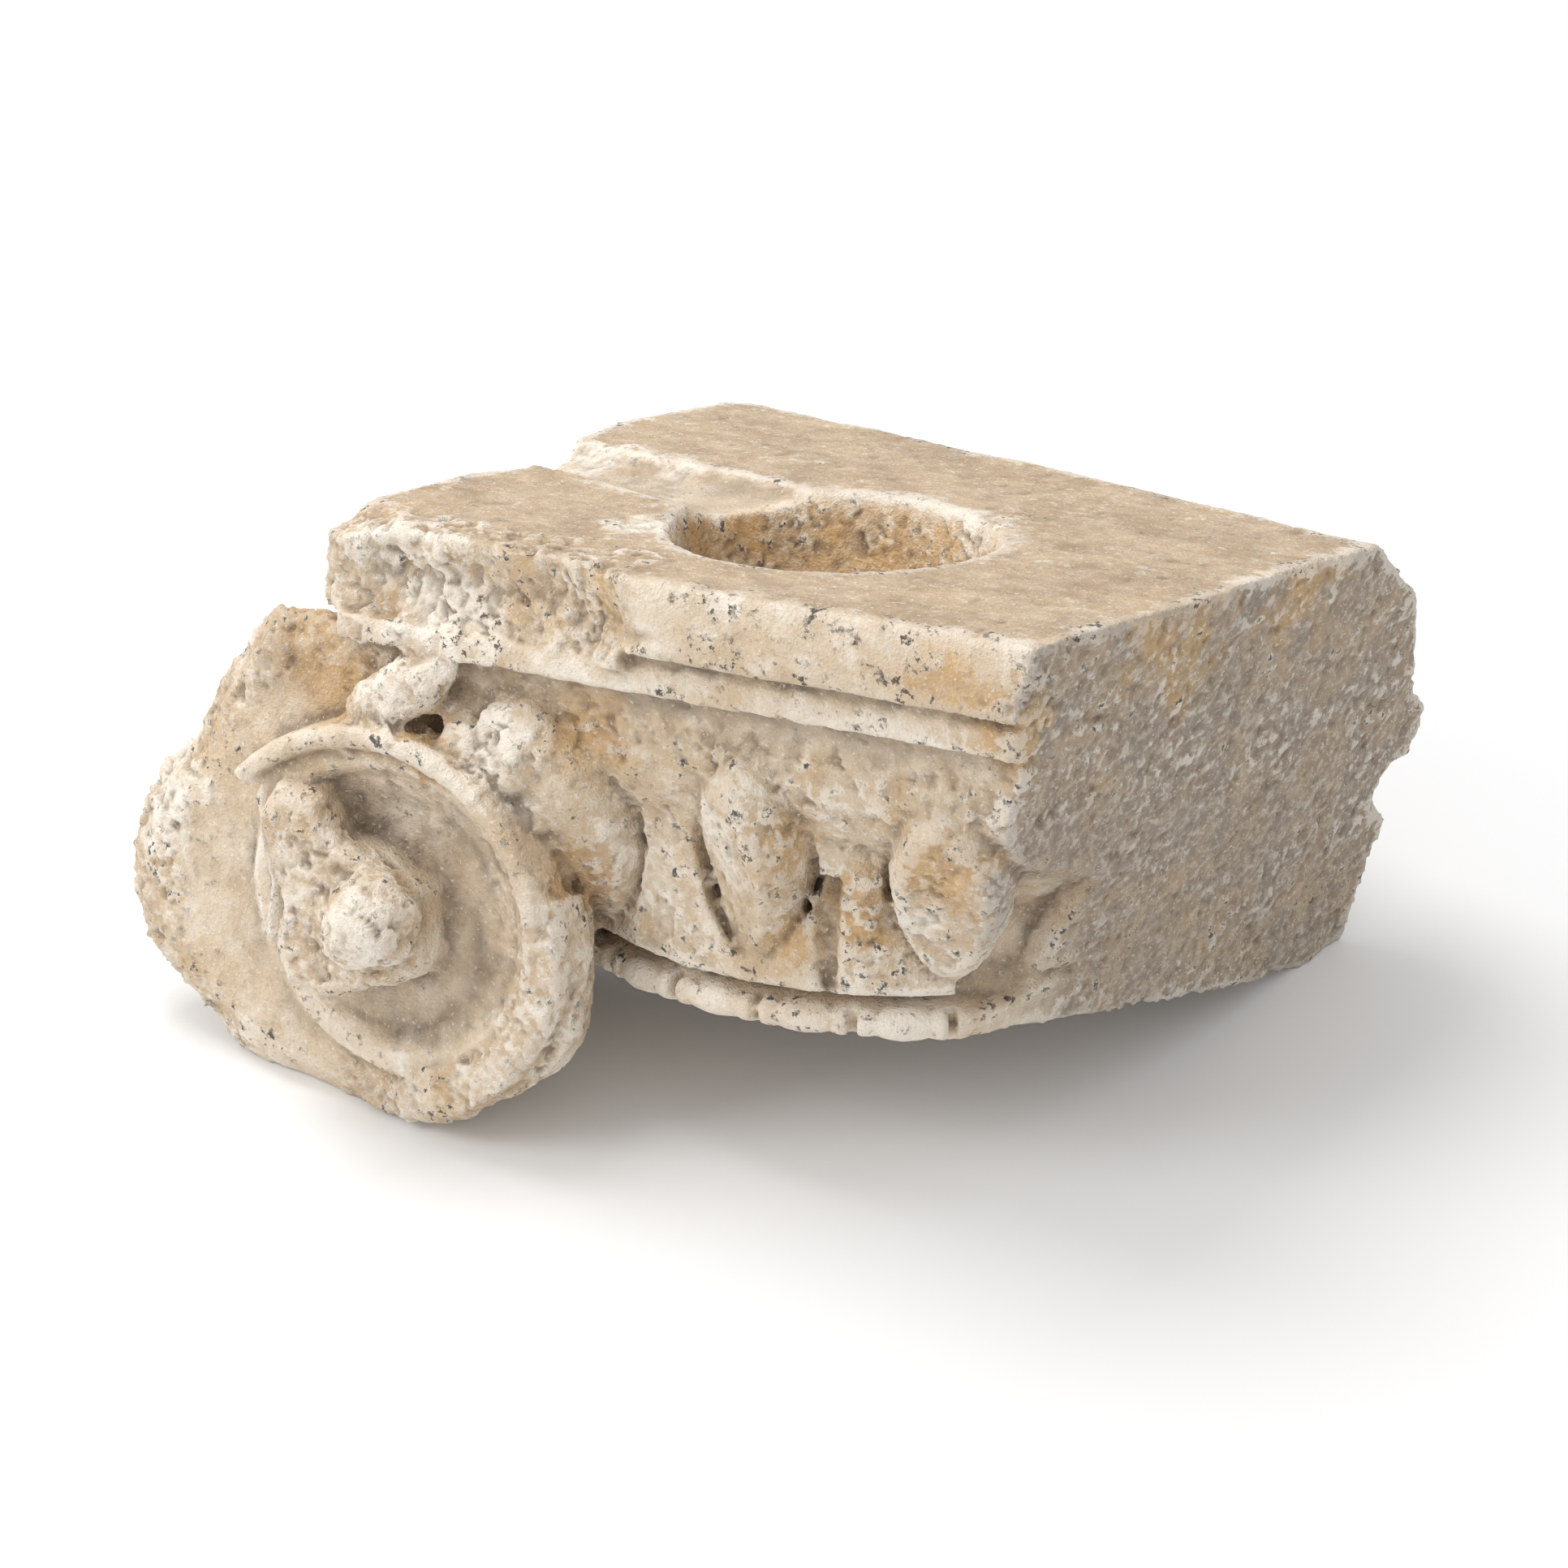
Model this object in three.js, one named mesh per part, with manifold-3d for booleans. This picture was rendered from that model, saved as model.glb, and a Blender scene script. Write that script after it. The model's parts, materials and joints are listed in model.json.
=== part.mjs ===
import * as THREE from 'three';
import Module from 'manifold-3d';
import { mergeVertices } from 'three/addons/utils/BufferGeometryUtils.js';

// Carving frame: X along the front, Y into the block, Z up, millimetres.
// Its origin lies on the column's axis at the level of the egg tips.

// Levels
const BED_Z = 191;
const ABACUS_FOOT_Z = 154;
const BAND_TOP_Z = 147;
const BAND_FOOT_Z = 134;
const CANALIS_FOOT_Z = 104;
const NECK_Z = -28;

// Plan of the block
const ABACUS_FRONT = 215;
const BAND_FRONT = 207;
const CANALIS_FRONT = 199;
const LEFT_EDGE = 198;
const REAR_EDGE = 116;
const RIGHT_REACH = 290;

// Abacus
const ABACUS_BULGE = 5;
const ABACUS_UNDERCUT = 11;
const ABACUS_SCOOP_RADIUS = 58;
const ABACUS_SCOOP_DEPTH = 17;
const ABACUS_INTACT_X = -42;

// Hollow and channel in the top bed
const HOLLOW_X = -2;
const HOLLOW_Y = -89;
const HOLLOW_RADIUS = 78;
const HOLLOW_DEPTH = 66;
const HOLLOW_FLOOR_RADIUS = 46;
const CHANNEL_WIDTH = 62;
const CHANNEL_DEPTH = 10;
const CHANNEL_TURN = 168;

// Echinus, eggs and darts
const FRONT_FLAT_FROM = 34;
const ECHINUS_FOOT_RADIUS = 148;
const ECHINUS_TOP_RADIUS = 172;
const EGG_SPACING = 32;
const EGG_TURN = 3;
const EGG_TIP_RADIUS = 150;
const EGG_HEAD_SPAN = 203;
const EGG_HEAD_FRONT = 191;
const EGG_HEIGHT = 118;
const EGG_WIDTH = 53;
const EGG_DEPTH = 59;
const FIRST_EGG_FULLER = 1.2;
const LAST_EGG_FULLER = 1.08;
const SHELL_FOOT_RADIUS = 170;
const SHELL_HEAD_RADIUS = 191;
const SHELL_GAP = 5;
const DART_WIDTH = 16;

// Bead and reel
const ASTRAGAL_RADIUS = 163;
const ASTRAGAL_Z = -19;
const BEAD_HEIGHT = 17;
const BEAD_LENGTH = 37;
const REEL_LENGTH = 9;
const REEL_HEIGHT = 15;

// Volute
const EYE_X = -176;
const EYE_Z = 3;
const VOLUTE_LEFT = 158;
const VOLUTE_TOP = 146;
const VOLUTE_FOOT = 102;
const VOLUTE_RIGHT = 104;
const VOLUTE_THICKNESS = 44;
const FLOOR_Y = -196;
const RIM_BREAK_WIDTH = 26;
const RIM_BREAK_DROP = 17;
const TURN_RADIUS = 84;
const TURN_PROUD = 24;
const DISH_RADIUS = 70;
const DISH_DEPTH = 21;
const DISH_X = -166;
const DISH_Z = 5;
const RIDGE_WIDTH = 11;
const EYE_RADIUS = 21;
const EYE_PROUD = 54;

// Bolster behind the volute and the stump of its partner on the right
const BOLSTER_FRONT_RADIUS = 96;
const BOLSTER_WAIST_RADIUS = 60;
const BOLSTER_BREAK_Y = -48;
const STUMP_X = 178;
const STUMP_RADIUS = 64;

// Breaks that bound the fragment
const CUT_TOP_X = 170;
const CUT_SPLAY = 10.8;
const CUT_LEAN = 17.2;
const CUT_CURL = 22;
const CUT_CURL_Z = 46;
const REAR_Y = 150;
const ARRIS_REACH = 110;
const ARRIS_SWELL = 12;
const BREAK_RELIEF = 2.6;

// Lie of the fragment on the ground
const LEAN_BACK = 15.9;
const LEAN_SIDE = 6.7;
const GROUND_DROP = 66;

const MARBLE_COLOUR = 0xd9c8ad;
const MARBLE_ROUGHNESS = 0.82;

const kernel = await Module();
kernel.setup();

const radians = THREE.MathUtils.degToRad;
const lerp = THREE.MathUtils.lerp;
const clamp = THREE.MathUtils.clamp;

// Turns a closed geometry into a solid
function solid(geometry) {
  const bare = geometry.index ? geometry.toNonIndexed() : geometry.clone();
  bare.deleteAttribute('normal');
  bare.deleteAttribute('uv');
  const merged = mergeVertices(bare, 1e-3);
  const mesh = new kernel.Mesh({
    numProp: 3,
    vertProperties: new Float32Array(merged.attributes.position.array),
    triVerts: new Uint32Array(merged.index.array),
  });
  return new kernel.Manifold(mesh);
}

// Moves every corner of a geometry by a rule
function shaped(geometry, rule) {
  const position = geometry.attributes.position;
  const point = new THREE.Vector3();
  for (let i = 0; i < position.count; i += 1) {
    point.fromBufferAttribute(position, i);
    rule(point);
    position.setXYZ(i, point.x, point.y, point.z);
  }
  return geometry;
}

// Uneven broken stone: a smooth wave field of the given height and length
function wave(point, length, phase) {
  const k = (2 * Math.PI) / length;
  const first = Math.sin(k * (point.x + 0.37 * point.z) + phase);
  const second = Math.sin(k * (0.83 * point.y - 0.41 * point.x) + 2.1 * phase);
  const third = Math.sin(k * (1.13 * point.z + 0.29 * point.y) + 0.7 * phase);
  return (first + second + third) / 3;
}

function roughened(geometry, height, length, phase = 1) {
  return shaped(geometry, (point) => {
    const x = wave(point, length, phase);
    const y = wave(point, length * 0.8, phase + 1.7);
    const z = wave(point, length * 1.2, phase + 3.1);
    point.x += 1.6 * height * x;
    point.y += 1.6 * height * y;
    point.z += 1.6 * height * z;
  });
}

// Body of revolution about the column's axis, outline given from foot to head
function turned(outline, sides) {
  const points = outline.map(([radius, z]) => new THREE.Vector2(radius, z));
  return new THREE.LatheGeometry(points, sides).rotateX(Math.PI / 2);
}

// Upright prism on a plan outline
function prism(outline, foot, head) {
  const shape = new THREE.Shape(outline.map(([x, y]) => new THREE.Vector2(x, y)));
  const body = new THREE.ExtrudeGeometry(shape, { depth: head - foot, bevelEnabled: false });
  return body.translate(0, 0, foot);
}

// Rounded lump of broken stone
function lump(centre, size, turn = 0, relief = 0.07, phase = 1, detail = 1) {
  const body = new THREE.IcosahedronGeometry(1, detail);
  body.scale(size[0], size[1], size[2]);
  roughened(body, relief * Math.min(...size), Math.max(...size), phase);
  body.rotateY(radians(turn));
  body.translate(...centre);
  return solid(body);
}

// Plan of the abacus with its broken corners
function bedOutline() {
  return [
    [RIGHT_REACH, -ABACUS_FRONT],
    [-0.15 * LEFT_EDGE, -ABACUS_FRONT],
    [-0.4 * LEFT_EDGE, -ABACUS_FRONT + 4],
    [-0.6 * LEFT_EDGE, -ABACUS_FRONT + 10],
    [-0.79 * LEFT_EDGE, -ABACUS_FRONT + 13],
    [-0.98 * LEFT_EDGE, -ABACUS_FRONT + 9],
    [-1.07 * LEFT_EDGE, -ABACUS_FRONT + 24],
    [-1.0 * LEFT_EDGE, -ABACUS_FRONT + 126],
    [-0.92 * LEFT_EDGE, -ABACUS_FRONT + 150],
    [-0.99 * LEFT_EDGE, REAR_EDGE - 116],
    [-1.0 * LEFT_EDGE, REAR_EDGE - 62],
    [-0.9 * LEFT_EDGE, REAR_EDGE + 4],
    [-0.5 * LEFT_EDGE, REAR_EDGE + 40],
    [RIGHT_REACH, REAR_EDGE + 70],
  ];
}

// Worn slope that takes the upper arris off the left front corner
function cornerLoss() {
  const size = 160;
  const slope = new THREE.BoxGeometry(size, size, size, 8, 8, 2);
  slope.translate(0, 0, size / 2);
  roughened(slope, 0.6 * BREAK_RELIEF, 52, 0.9);
  slope.rotateX(radians(13));
  slope.rotateY(radians(-17));
  slope.rotateZ(radians(8));
  slope.translate(-0.92 * LEFT_EDGE, -ABACUS_FRONT + 16, BED_Z - 5);
  return solid(slope);
}

// Abacus with a bulging front face, undercut at its foot
function abacus() {
  const height = BED_Z - ABACUS_FOOT_Z;
  const block = solid(prism(bedOutline(), BAND_TOP_Z - 2, BED_Z));
  const moulding = new THREE.CylinderGeometry(1, 1, RIGHT_REACH * 2, 20, 1);
  moulding.rotateZ(Math.PI / 2);
  moulding.scale(1, ABACUS_BULGE, 0.62 * height);
  moulding.translate(0, -ABACUS_FRONT, BED_Z - 0.5 * height);
  const keep = solid(
    new THREE.BoxGeometry(RIGHT_REACH * 2, 40, height)
      .translate(RIGHT_REACH + ABACUS_INTACT_X, -ABACUS_FRONT, BED_Z - 0.5 * height),
  );
  const undercut = new THREE.CylinderGeometry(1, 1, RIGHT_REACH * 2, 16, 1);
  undercut.rotateZ(Math.PI / 2);
  undercut.scale(1, ABACUS_UNDERCUT, ABACUS_FOOT_Z - BAND_TOP_Z);
  undercut.translate(RIGHT_REACH + ABACUS_INTACT_X, -ABACUS_FRONT, BAND_TOP_Z + 1);
  const scoop = new THREE.CylinderGeometry(1, 1, 2 * LEFT_EDGE, 22, 18);
  scoop.rotateZ(Math.PI / 2);
  scoop.scale(1, ABACUS_SCOOP_RADIUS, ABACUS_SCOOP_RADIUS);
  const fading = 0.5 * LEFT_EDGE;
  shaped(scoop, (point) => {
    const end = clamp((point.x - LEFT_EDGE + fading) / fading, 0, 1);
    point.y -= (ABACUS_SCOOP_DEPTH + ABACUS_BULGE + 4) * end * end;
  });
  roughened(scoop, 1.5 * BREAK_RELIEF, 61, 0.4);
  scoop.rotateX(radians(10));
  const scoopY = -ABACUS_FRONT + ABACUS_SCOOP_DEPTH - ABACUS_SCOOP_RADIUS;
  const scoopZ = lerp(BAND_TOP_Z, BED_Z, 0.42);
  scoop.translate(ABACUS_INTACT_X + 0.3 * fading - LEFT_EDGE, scoopY, scoopZ);
  return block
    .add(solid(moulding).intersect(keep))
    .subtract(solid(undercut))
    .subtract(solid(scoop))
    .subtract(cornerLoss());
}

// Fillet band and the hollowed strip below it
function canalis() {
  const outline = [
    [RIGHT_REACH, -CANALIS_FRONT],
    [EYE_X, -CANALIS_FRONT],
    [EYE_X - 18, -CANALIS_FRONT + 60],
    [EYE_X + 8, REAR_EDGE - 30],
    [EYE_X + 40, REAR_EDGE + 30],
    [RIGHT_REACH, REAR_EDGE + 70],
  ];
  const height = BAND_FOOT_Z - CANALIS_FOOT_Z;
  const strip = solid(prism(outline, CANALIS_FOOT_Z - 4, BAND_TOP_Z + 4));
  const groove = new THREE.CylinderGeometry(1, 1, RIGHT_REACH * 2, 16, 1);
  groove.rotateZ(Math.PI / 2);
  groove.scale(1, 0.33 * height, 0.75 * height);
  groove.translate(0, -CANALIS_FRONT - 2, BAND_FOOT_Z - 0.75 * height);
  const bandDepth = BAND_FRONT - CANALIS_FRONT + 12;
  const bandReach = RIGHT_REACH - EYE_X + 22;
  const band = new THREE.BoxGeometry(bandReach, bandDepth, BAND_TOP_Z - BAND_FOOT_Z, 24, 1, 1);
  shaped(band, (point) => {
    point.y += point.y < 0 ? 0.7 * wave(point, 90, 0.9) : 0;
  });
  band.translate(
    EYE_X - 22 + bandReach / 2,
    -BAND_FRONT + bandDepth / 2,
    (BAND_TOP_Z + BAND_FOOT_Z) / 2,
  );
  return strip.subtract(solid(groove)).add(solid(band));
}

// Core: round at the neck, drawn forward to the flat front under the band
function core() {
  const waist = ECHINUS_FOOT_RADIUS;
  const outline = [
    [0, NECK_Z],
    [ASTRAGAL_RADIUS - 9, NECK_Z],
    [ASTRAGAL_RADIUS - 5, NECK_Z + 4],
    [ASTRAGAL_RADIUS - 3, ASTRAGAL_Z - 0.5 * BEAD_HEIGHT],
    [ASTRAGAL_RADIUS - 3, ASTRAGAL_Z + 0.5 * BEAD_HEIGHT],
    [waist + 4, ASTRAGAL_Z + 0.62 * BEAD_HEIGHT],
    [waist, 4],
  ];
  const rings = 7;
  for (let i = 1; i <= rings; i += 1) {
    const t = i / rings;
    outline.push([lerp(waist, ECHINUS_TOP_RADIUS, t), lerp(4, CANALIS_FOOT_Z + 6, t)]);
  }
  outline.push([0, CANALIS_FOOT_Z + 6]);
  const flat = CANALIS_FRONT - 7;
  return solid(shaped(turned(outline, 44), (point) => {
    const radius = Math.hypot(point.x, point.y);
    const angle = Math.atan2(point.x, -point.y);
    const height = clamp((point.z - FRONT_FLAT_FROM) / (CANALIS_FOOT_Z - FRONT_FLAT_FROM), 0, 1);
    const drawn = height * height * (3 - 2 * height);
    const near = clamp((radians(78) - Math.abs(angle)) / radians(22), 0, 1);
    const reach = Math.min(flat / Math.max(Math.cos(angle), 0.4), 1.32 * flat);
    const wanted = lerp(radius, Math.max(radius, reach), drawn * near * (radius > 1 ? 1 : 0));
    const grow = radius > 1 ? wanted / radius : 1;
    point.x *= grow;
    point.y *= grow;
  }));
}

// Places a body carved about the origin on the echinus at the given turn
function onEchinus(body, turn, radius, z, lean) {
  const placed = body.clone();
  placed.rotateX(radians(lean));
  placed.translate(0, -radius, z);
  placed.rotateZ(radians(turn));
  return placed;
}

// Egg with its tip down, fuller towards the head
function eggBody(widen, deepen) {
  const body = new THREE.SphereGeometry(1, 16, 11).rotateX(Math.PI / 2);
  return shaped(body, (point) => {
    const taper = 1 + 0.24 * point.z - 0.1 * point.z * point.z;
    point.x *= taper * (0.5 * EGG_WIDTH + widen);
    point.y *= taper * (0.5 * EGG_DEPTH + deepen);
    point.z *= 0.51 * EGG_HEIGHT + widen;
  });
}

// Turn of an egg round the column, counted from the left as -1, 0 and 1
function eggTurn(step) {
  return EGG_TURN + step * EGG_SPACING;
}

// Tip and head of an egg
function eggEnds(step) {
  const turn = radians(eggTurn(step));
  const tip = new THREE.Vector3(
    EGG_TIP_RADIUS * Math.sin(turn),
    -EGG_TIP_RADIUS * Math.cos(turn),
    -4,
  );
  const head = new THREE.Vector3(EGG_HEAD_SPAN * Math.sin(turn) + 3, -EGG_HEAD_FRONT, EGG_HEIGHT - 4);
  return { tip, head, along: head.clone().sub(tip) };
}

function eggCentre(step) {
  const { tip, head } = eggEnds(step);
  return tip.add(head).multiplyScalar(0.5);
}

function eggLean(step) {
  const { along } = eggEnds(step);
  return Math.atan2(Math.hypot(along.x, along.y), along.z);
}

// Egg leaning from its tip on the neck to its head under the band
function egg(step, widen) {
  const { along } = eggEnds(step);
  const body = eggBody(widen, 0.5 * widen);
  const fuller = [FIRST_EGG_FULLER, 1, LAST_EGG_FULLER][step + 1];
  body.scale(fuller, 1, lerp(1, fuller, 0.4));
  body.rotateX(eggLean(step));
  body.rotateZ(Math.atan2(along.x, -along.y));
  const centre = eggCentre(step);
  return solid(body.translate(centre.x, centre.y, centre.z));
}

// A flat break across an egg: everything in front of the tilted plane goes
function eggBreak(step, yaw, pitch, offset, phase) {
  const size = 1.5 * EGG_HEIGHT;
  const block = new THREE.BoxGeometry(size, size, size, 6, 6, 6);
  roughened(block, BREAK_RELIEF * 0.6, 34, phase);
  block.translate(0, -size / 2 - offset, 0);
  block.rotateX(eggLean(step) + radians(pitch));
  block.rotateZ(radians(yaw));
  const centre = eggCentre(step);
  return solid(block.translate(centre.x, centre.y, centre.z));
}

// Proud broken scar on the upper left of the first egg
function eggScar() {
  const { head } = eggEnds(-1);
  const high = lump([head.x - 9, head.y - 2, 0.8 * EGG_HEIGHT], [23, 15, 27], 24, 0.2, 2.6, 1);
  const low = lump([head.x - 2, head.y + 3, 0.6 * EGG_HEIGHT], [19, 15, 17], -10, 0.2, 0.9, 1);
  return high.add(low);
}

// Three eggs, each broken in its own way, with the stumps of shells and darts
function eggAndDart() {
  const turns = [-1, 0, 1].map(eggTurn);
  const eggs = [
    egg(-1, 0).add(eggScar()),
    egg(0, 0).subtract(eggBreak(0, -32, 0, 17, 1.1)),
    egg(1, 0).subtract(eggBreak(1, 8, -2, 19, 2.3)),
  ];
  // Ring of shells: the space around each egg is sunk, the wall between stays
  const ringFront = (z) => lerp(SHELL_FOOT_RADIUS, SHELL_HEAD_RADIUS, z / CANALIS_FOOT_Z);
  const shellOutline = [
    [0, -4],
    [ringFront(0) + 1, -4],
    [ringFront(30), 30],
    [ringFront(70) - 2, 70],
    [ringFront(104) - 3, CANALIS_FOOT_Z + 2],
    [0, CANALIS_FOOT_Z + 2],
  ];
  const shellRing = turned(shellOutline, 36);
  roughened(shellRing, 1.3, 27, 1.9);
  const reach = radians(1.5 * EGG_SPACING + 12);
  const sector = [[0, 0]];
  for (let i = 0; i <= 8; i += 1) {
    const angle = lerp(-reach, radians(turns[2]), i / 8);
    sector.push([300 * Math.sin(angle), -300 * Math.cos(angle)]);
  }
  let walls = solid(shellRing).intersect(solid(prism(sector, -6, CANALIS_FOOT_Z)));
  for (const step of [-1, 0, 1]) {
    walls = walls.subtract(egg(step, SHELL_GAP));
  }
  // Deep slanting gap between the second egg's shell and the dart
  const gapHeight = 0.5 * EGG_HEIGHT;
  const gap = new THREE.CylinderGeometry(0.5 * DART_WIDTH, 0.26 * DART_WIDTH, gapHeight, 8, 2);
  gap.rotateX(Math.PI / 2);
  const gapPlaced = onEchinus(gap, turns[1] + 0.38 * EGG_SPACING, ringFront(20), 0.42 * gapHeight, 10);
  walls = walls.subtract(solid(gapPlaced));
  // Stump of the dart between the second and third egg
  const dart = new THREE.ConeGeometry(DART_WIDTH * 0.8, 46, 7, 3).rotateX(-Math.PI / 2);
  const dartPlaced = onEchinus(dart, turns[1] + 0.56 * EGG_SPACING, ringFront(10) - 5, 22, 12);
  let result = walls.add(solid(dartPlaced));
  for (const part of eggs) {
    result = result.add(part);
  }
  return result;
}

// Long beads parted by pairs of reels around the neck
function beadAndReel() {
  const step = EGG_SPACING / 2;
  const turnOf = (length) => THREE.MathUtils.radToDeg(length / ASTRAGAL_RADIUS);
  let ring = null;
  const join = (body) => {
    const part = solid(body);
    ring = ring ? ring.add(part) : part;
  };
  for (let i = -4; i <= 3; i += 1) {
    const turn = EGG_TURN + (i + 0.5) * step;
    const bead = new THREE.SphereGeometry(1, 8, 6).rotateZ(Math.PI / 2);
    bead.scale(BEAD_LENGTH / 2, BEAD_HEIGHT / 2, BEAD_HEIGHT / 2);
    join(onEchinus(bead, turn, ASTRAGAL_RADIUS, ASTRAGAL_Z, 0));
    for (const side of [-1, 1]) {
      const reel = new THREE.CylinderGeometry(REEL_HEIGHT / 2, REEL_HEIGHT / 2, REEL_LENGTH * 0.62, 8, 1);
      reel.rotateZ(Math.PI / 2);
      const away = step / 2 + side * turnOf(REEL_LENGTH / 2 + 0.6);
      join(onEchinus(reel, turn + away, ASTRAGAL_RADIUS, ASTRAGAL_Z, 0));
    }
  }
  return ring;
}

// Reach of the volute's broken outer edge from the eye, by direction
function voluteReach(angle) {
  const edge = [
    [-20, VOLUTE_RIGHT + 6],
    [4, VOLUTE_RIGHT - 8],
    [22, TURN_RADIUS + 4],
    [72, TURN_RADIUS + 6],
    [92, VOLUTE_TOP - 16],
    [118, VOLUTE_TOP + 6],
    [150, VOLUTE_TOP - 14],
    [176, VOLUTE_LEFT],
    [200, VOLUTE_LEFT - 4],
    [216, VOLUTE_LEFT - 23],
    [240, VOLUTE_FOOT + 18],
    [270, VOLUTE_FOOT + 6],
    [308, VOLUTE_FOOT + 2],
    [330, VOLUTE_RIGHT + 10],
    [340, VOLUTE_RIGHT + 6],
  ];
  let turn = THREE.MathUtils.radToDeg(angle);
  while (turn < edge[0][0]) turn += 360;
  while (turn > 340) turn -= 360;
  const next = edge.findIndex(([limit]) => limit >= turn);
  const [fromTurn, from] = edge[Math.max(next - 1, 0)];
  const [toTurn, to] = edge[Math.max(next, 1)];
  const even = lerp(from, to, clamp((turn - fromTurn) / (toTurn - fromTurn), 0, 1));
  return even + 1.8 * Math.sin(11 * angle + 1.9) * rimLoss(angle);
}

// Share of the rim lost at a direction: nothing on the right, most on the left
function rimLoss(angle) {
  const side = Math.cos(angle - radians(196));
  return clamp(0.5 + 1.1 * side, 0, 1);
}

// Disc that carries the volute; its front is the floor of the outer turn
function voluteDisc() {
  const rings = [0, 0.35, 0.6, 0.72, 0.82, 0.9, 0.96, 1];
  const outline = [[0, -1]];
  rings.slice(1).forEach((share) => outline.push([share, -1]));
  outline.push([1, -0.3], [0.95, 0.4], [0.86, 1], [0, 1]);
  const body = turned(outline, 40).rotateX(-Math.PI / 2);
  return solid(shaped(body, (point) => {
    const share = Math.hypot(point.x, point.z);
    const angle = Math.atan2(point.z, point.x);
    const reach = voluteReach(angle);
    const fromEdge = (1 - share) * reach;
    const broken = clamp(1 - fromEdge / RIM_BREAK_WIDTH, 0, 1) * rimLoss(angle);
    const front = point.y < -0.99;
    const depth = FLOOR_Y + (point.y + 1) * 0.5 * VOLUTE_THICKNESS;
    const dent = 3.4 * broken * Math.sin(9 * angle + 7 * share);
    point.x = EYE_X + point.x * reach;
    point.z = EYE_Z + point.z * reach;
    const swell = 4 * Math.sin(Math.PI * Math.min(1, 1.6 * broken));
    point.y = depth + (front ? RIM_BREAK_DROP * broken - swell + dent : 0);
  }));
}

// Height of the corkscrew above the outer floor by direction, winding up
function turnRise(angle) {
  const full = 2 * Math.PI;
  const from = radians(208);
  const along = (((angle - from) % full) + full) % full;
  return clamp(along / radians(292), 0, 1);
}

// Inner turn: a raised disc with a hollowed face, broken off on the left
function innerTurn() {
  const shares = [0.12, 0.3, 0.5, 0.66, 0.8, 0.87, 0.93, 1];
  const outline = [[0, -1]];
  shares.forEach((share) => outline.push([share, -1]));
  outline.push([1, 1], [0, 1]);
  const body = turned(outline, 36).rotateX(-Math.PI / 2);
  const hollowShare = DISH_RADIUS / TURN_RADIUS;
  const disc = solid(shaped(body, (point) => {
    const share = Math.hypot(point.x, point.z);
    const angle = Math.atan2(point.z, point.x);
    const rise = turnRise(angle);
    const radius = TURN_RADIUS * (1 + 0.05 * Math.sin(angle - radians(-30)));
    const inside = clamp(share / hollowShare, 0, 1);
    const sunk = DISH_DEPTH * Math.sqrt(clamp(1 - inside ** 3, 0, 1));
    const front = point.y < 0;
    const top = FLOOR_Y - 1 - TURN_PROUD * rise;
    point.x = DISH_X + point.x * radius;
    point.z = DISH_Z + point.z * radius;
    point.y = front ? Math.min(top + sunk * (0.4 + 0.6 * rise), FLOOR_Y + 8) : FLOOR_Y + 16;
  }));
  const lostWidth = 90;
  const lost = new THREE.BoxGeometry(lostWidth, 90, 230, 3, 6, 14);
  roughened(lost, 1.6, 38, 0.8);
  lost.rotateY(radians(-3));
  lost.translate(DISH_X - 61 - lostWidth / 2, FLOOR_Y - 47, DISH_Z - 64);
  return disc.subtract(solid(lost));
}

// Bar of varying breadth laid along an arc round the inner turn
function arcBar(from, to, radiusAt, heightAt, breadthAt, steps) {
  const bar = new THREE.CylinderGeometry(1, 1, 1, 10, steps);
  return solid(shaped(bar, (point) => {
    const t = point.y + 0.5;
    const angle = radians(lerp(from, to, t));
    const across = Math.sign(point.x) * Math.sqrt(Math.abs(point.x));
    const out = Math.sign(point.z) * Math.abs(point.z) ** 0.4;
    const radius = radiusAt(t) + 0.5 * breadthAt(t) * across;
    const depth = heightAt(t) - 0.5 * heightAt(t, true) * out;
    point.set(DISH_X + radius * Math.cos(angle), depth, DISH_Z + radius * Math.sin(angle));
  }));
}

// Fillet of the spiral: broken wide at the foot, a clean ridge over the top
function spiralFillet() {
  const ridge = arcBar(
    8,
    141,
    (t) => TURN_RADIUS + 1 + 9 * t * t,
    (t, thick) => (thick ? 30 : FLOOR_Y + 6 - TURN_PROUD * lerp(0.6, 0.95, t)),
    () => RIDGE_WIDTH,
    18,
  );
  const stub = arcBar(
    -104,
    14,
    (t) => TURN_RADIUS + lerp(5, 1, t),
    (t, thick) => (thick ? lerp(16, 36, Math.min(1, 4 * t)) : FLOOR_Y + 12 - TURN_PROUD * lerp(0.1, 0.56, t)),
    (t) => lerp(32, 18, t) + 3 * Math.sin(9 * t),
    16,
  );
  return ridge.add(stub);
}

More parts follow.
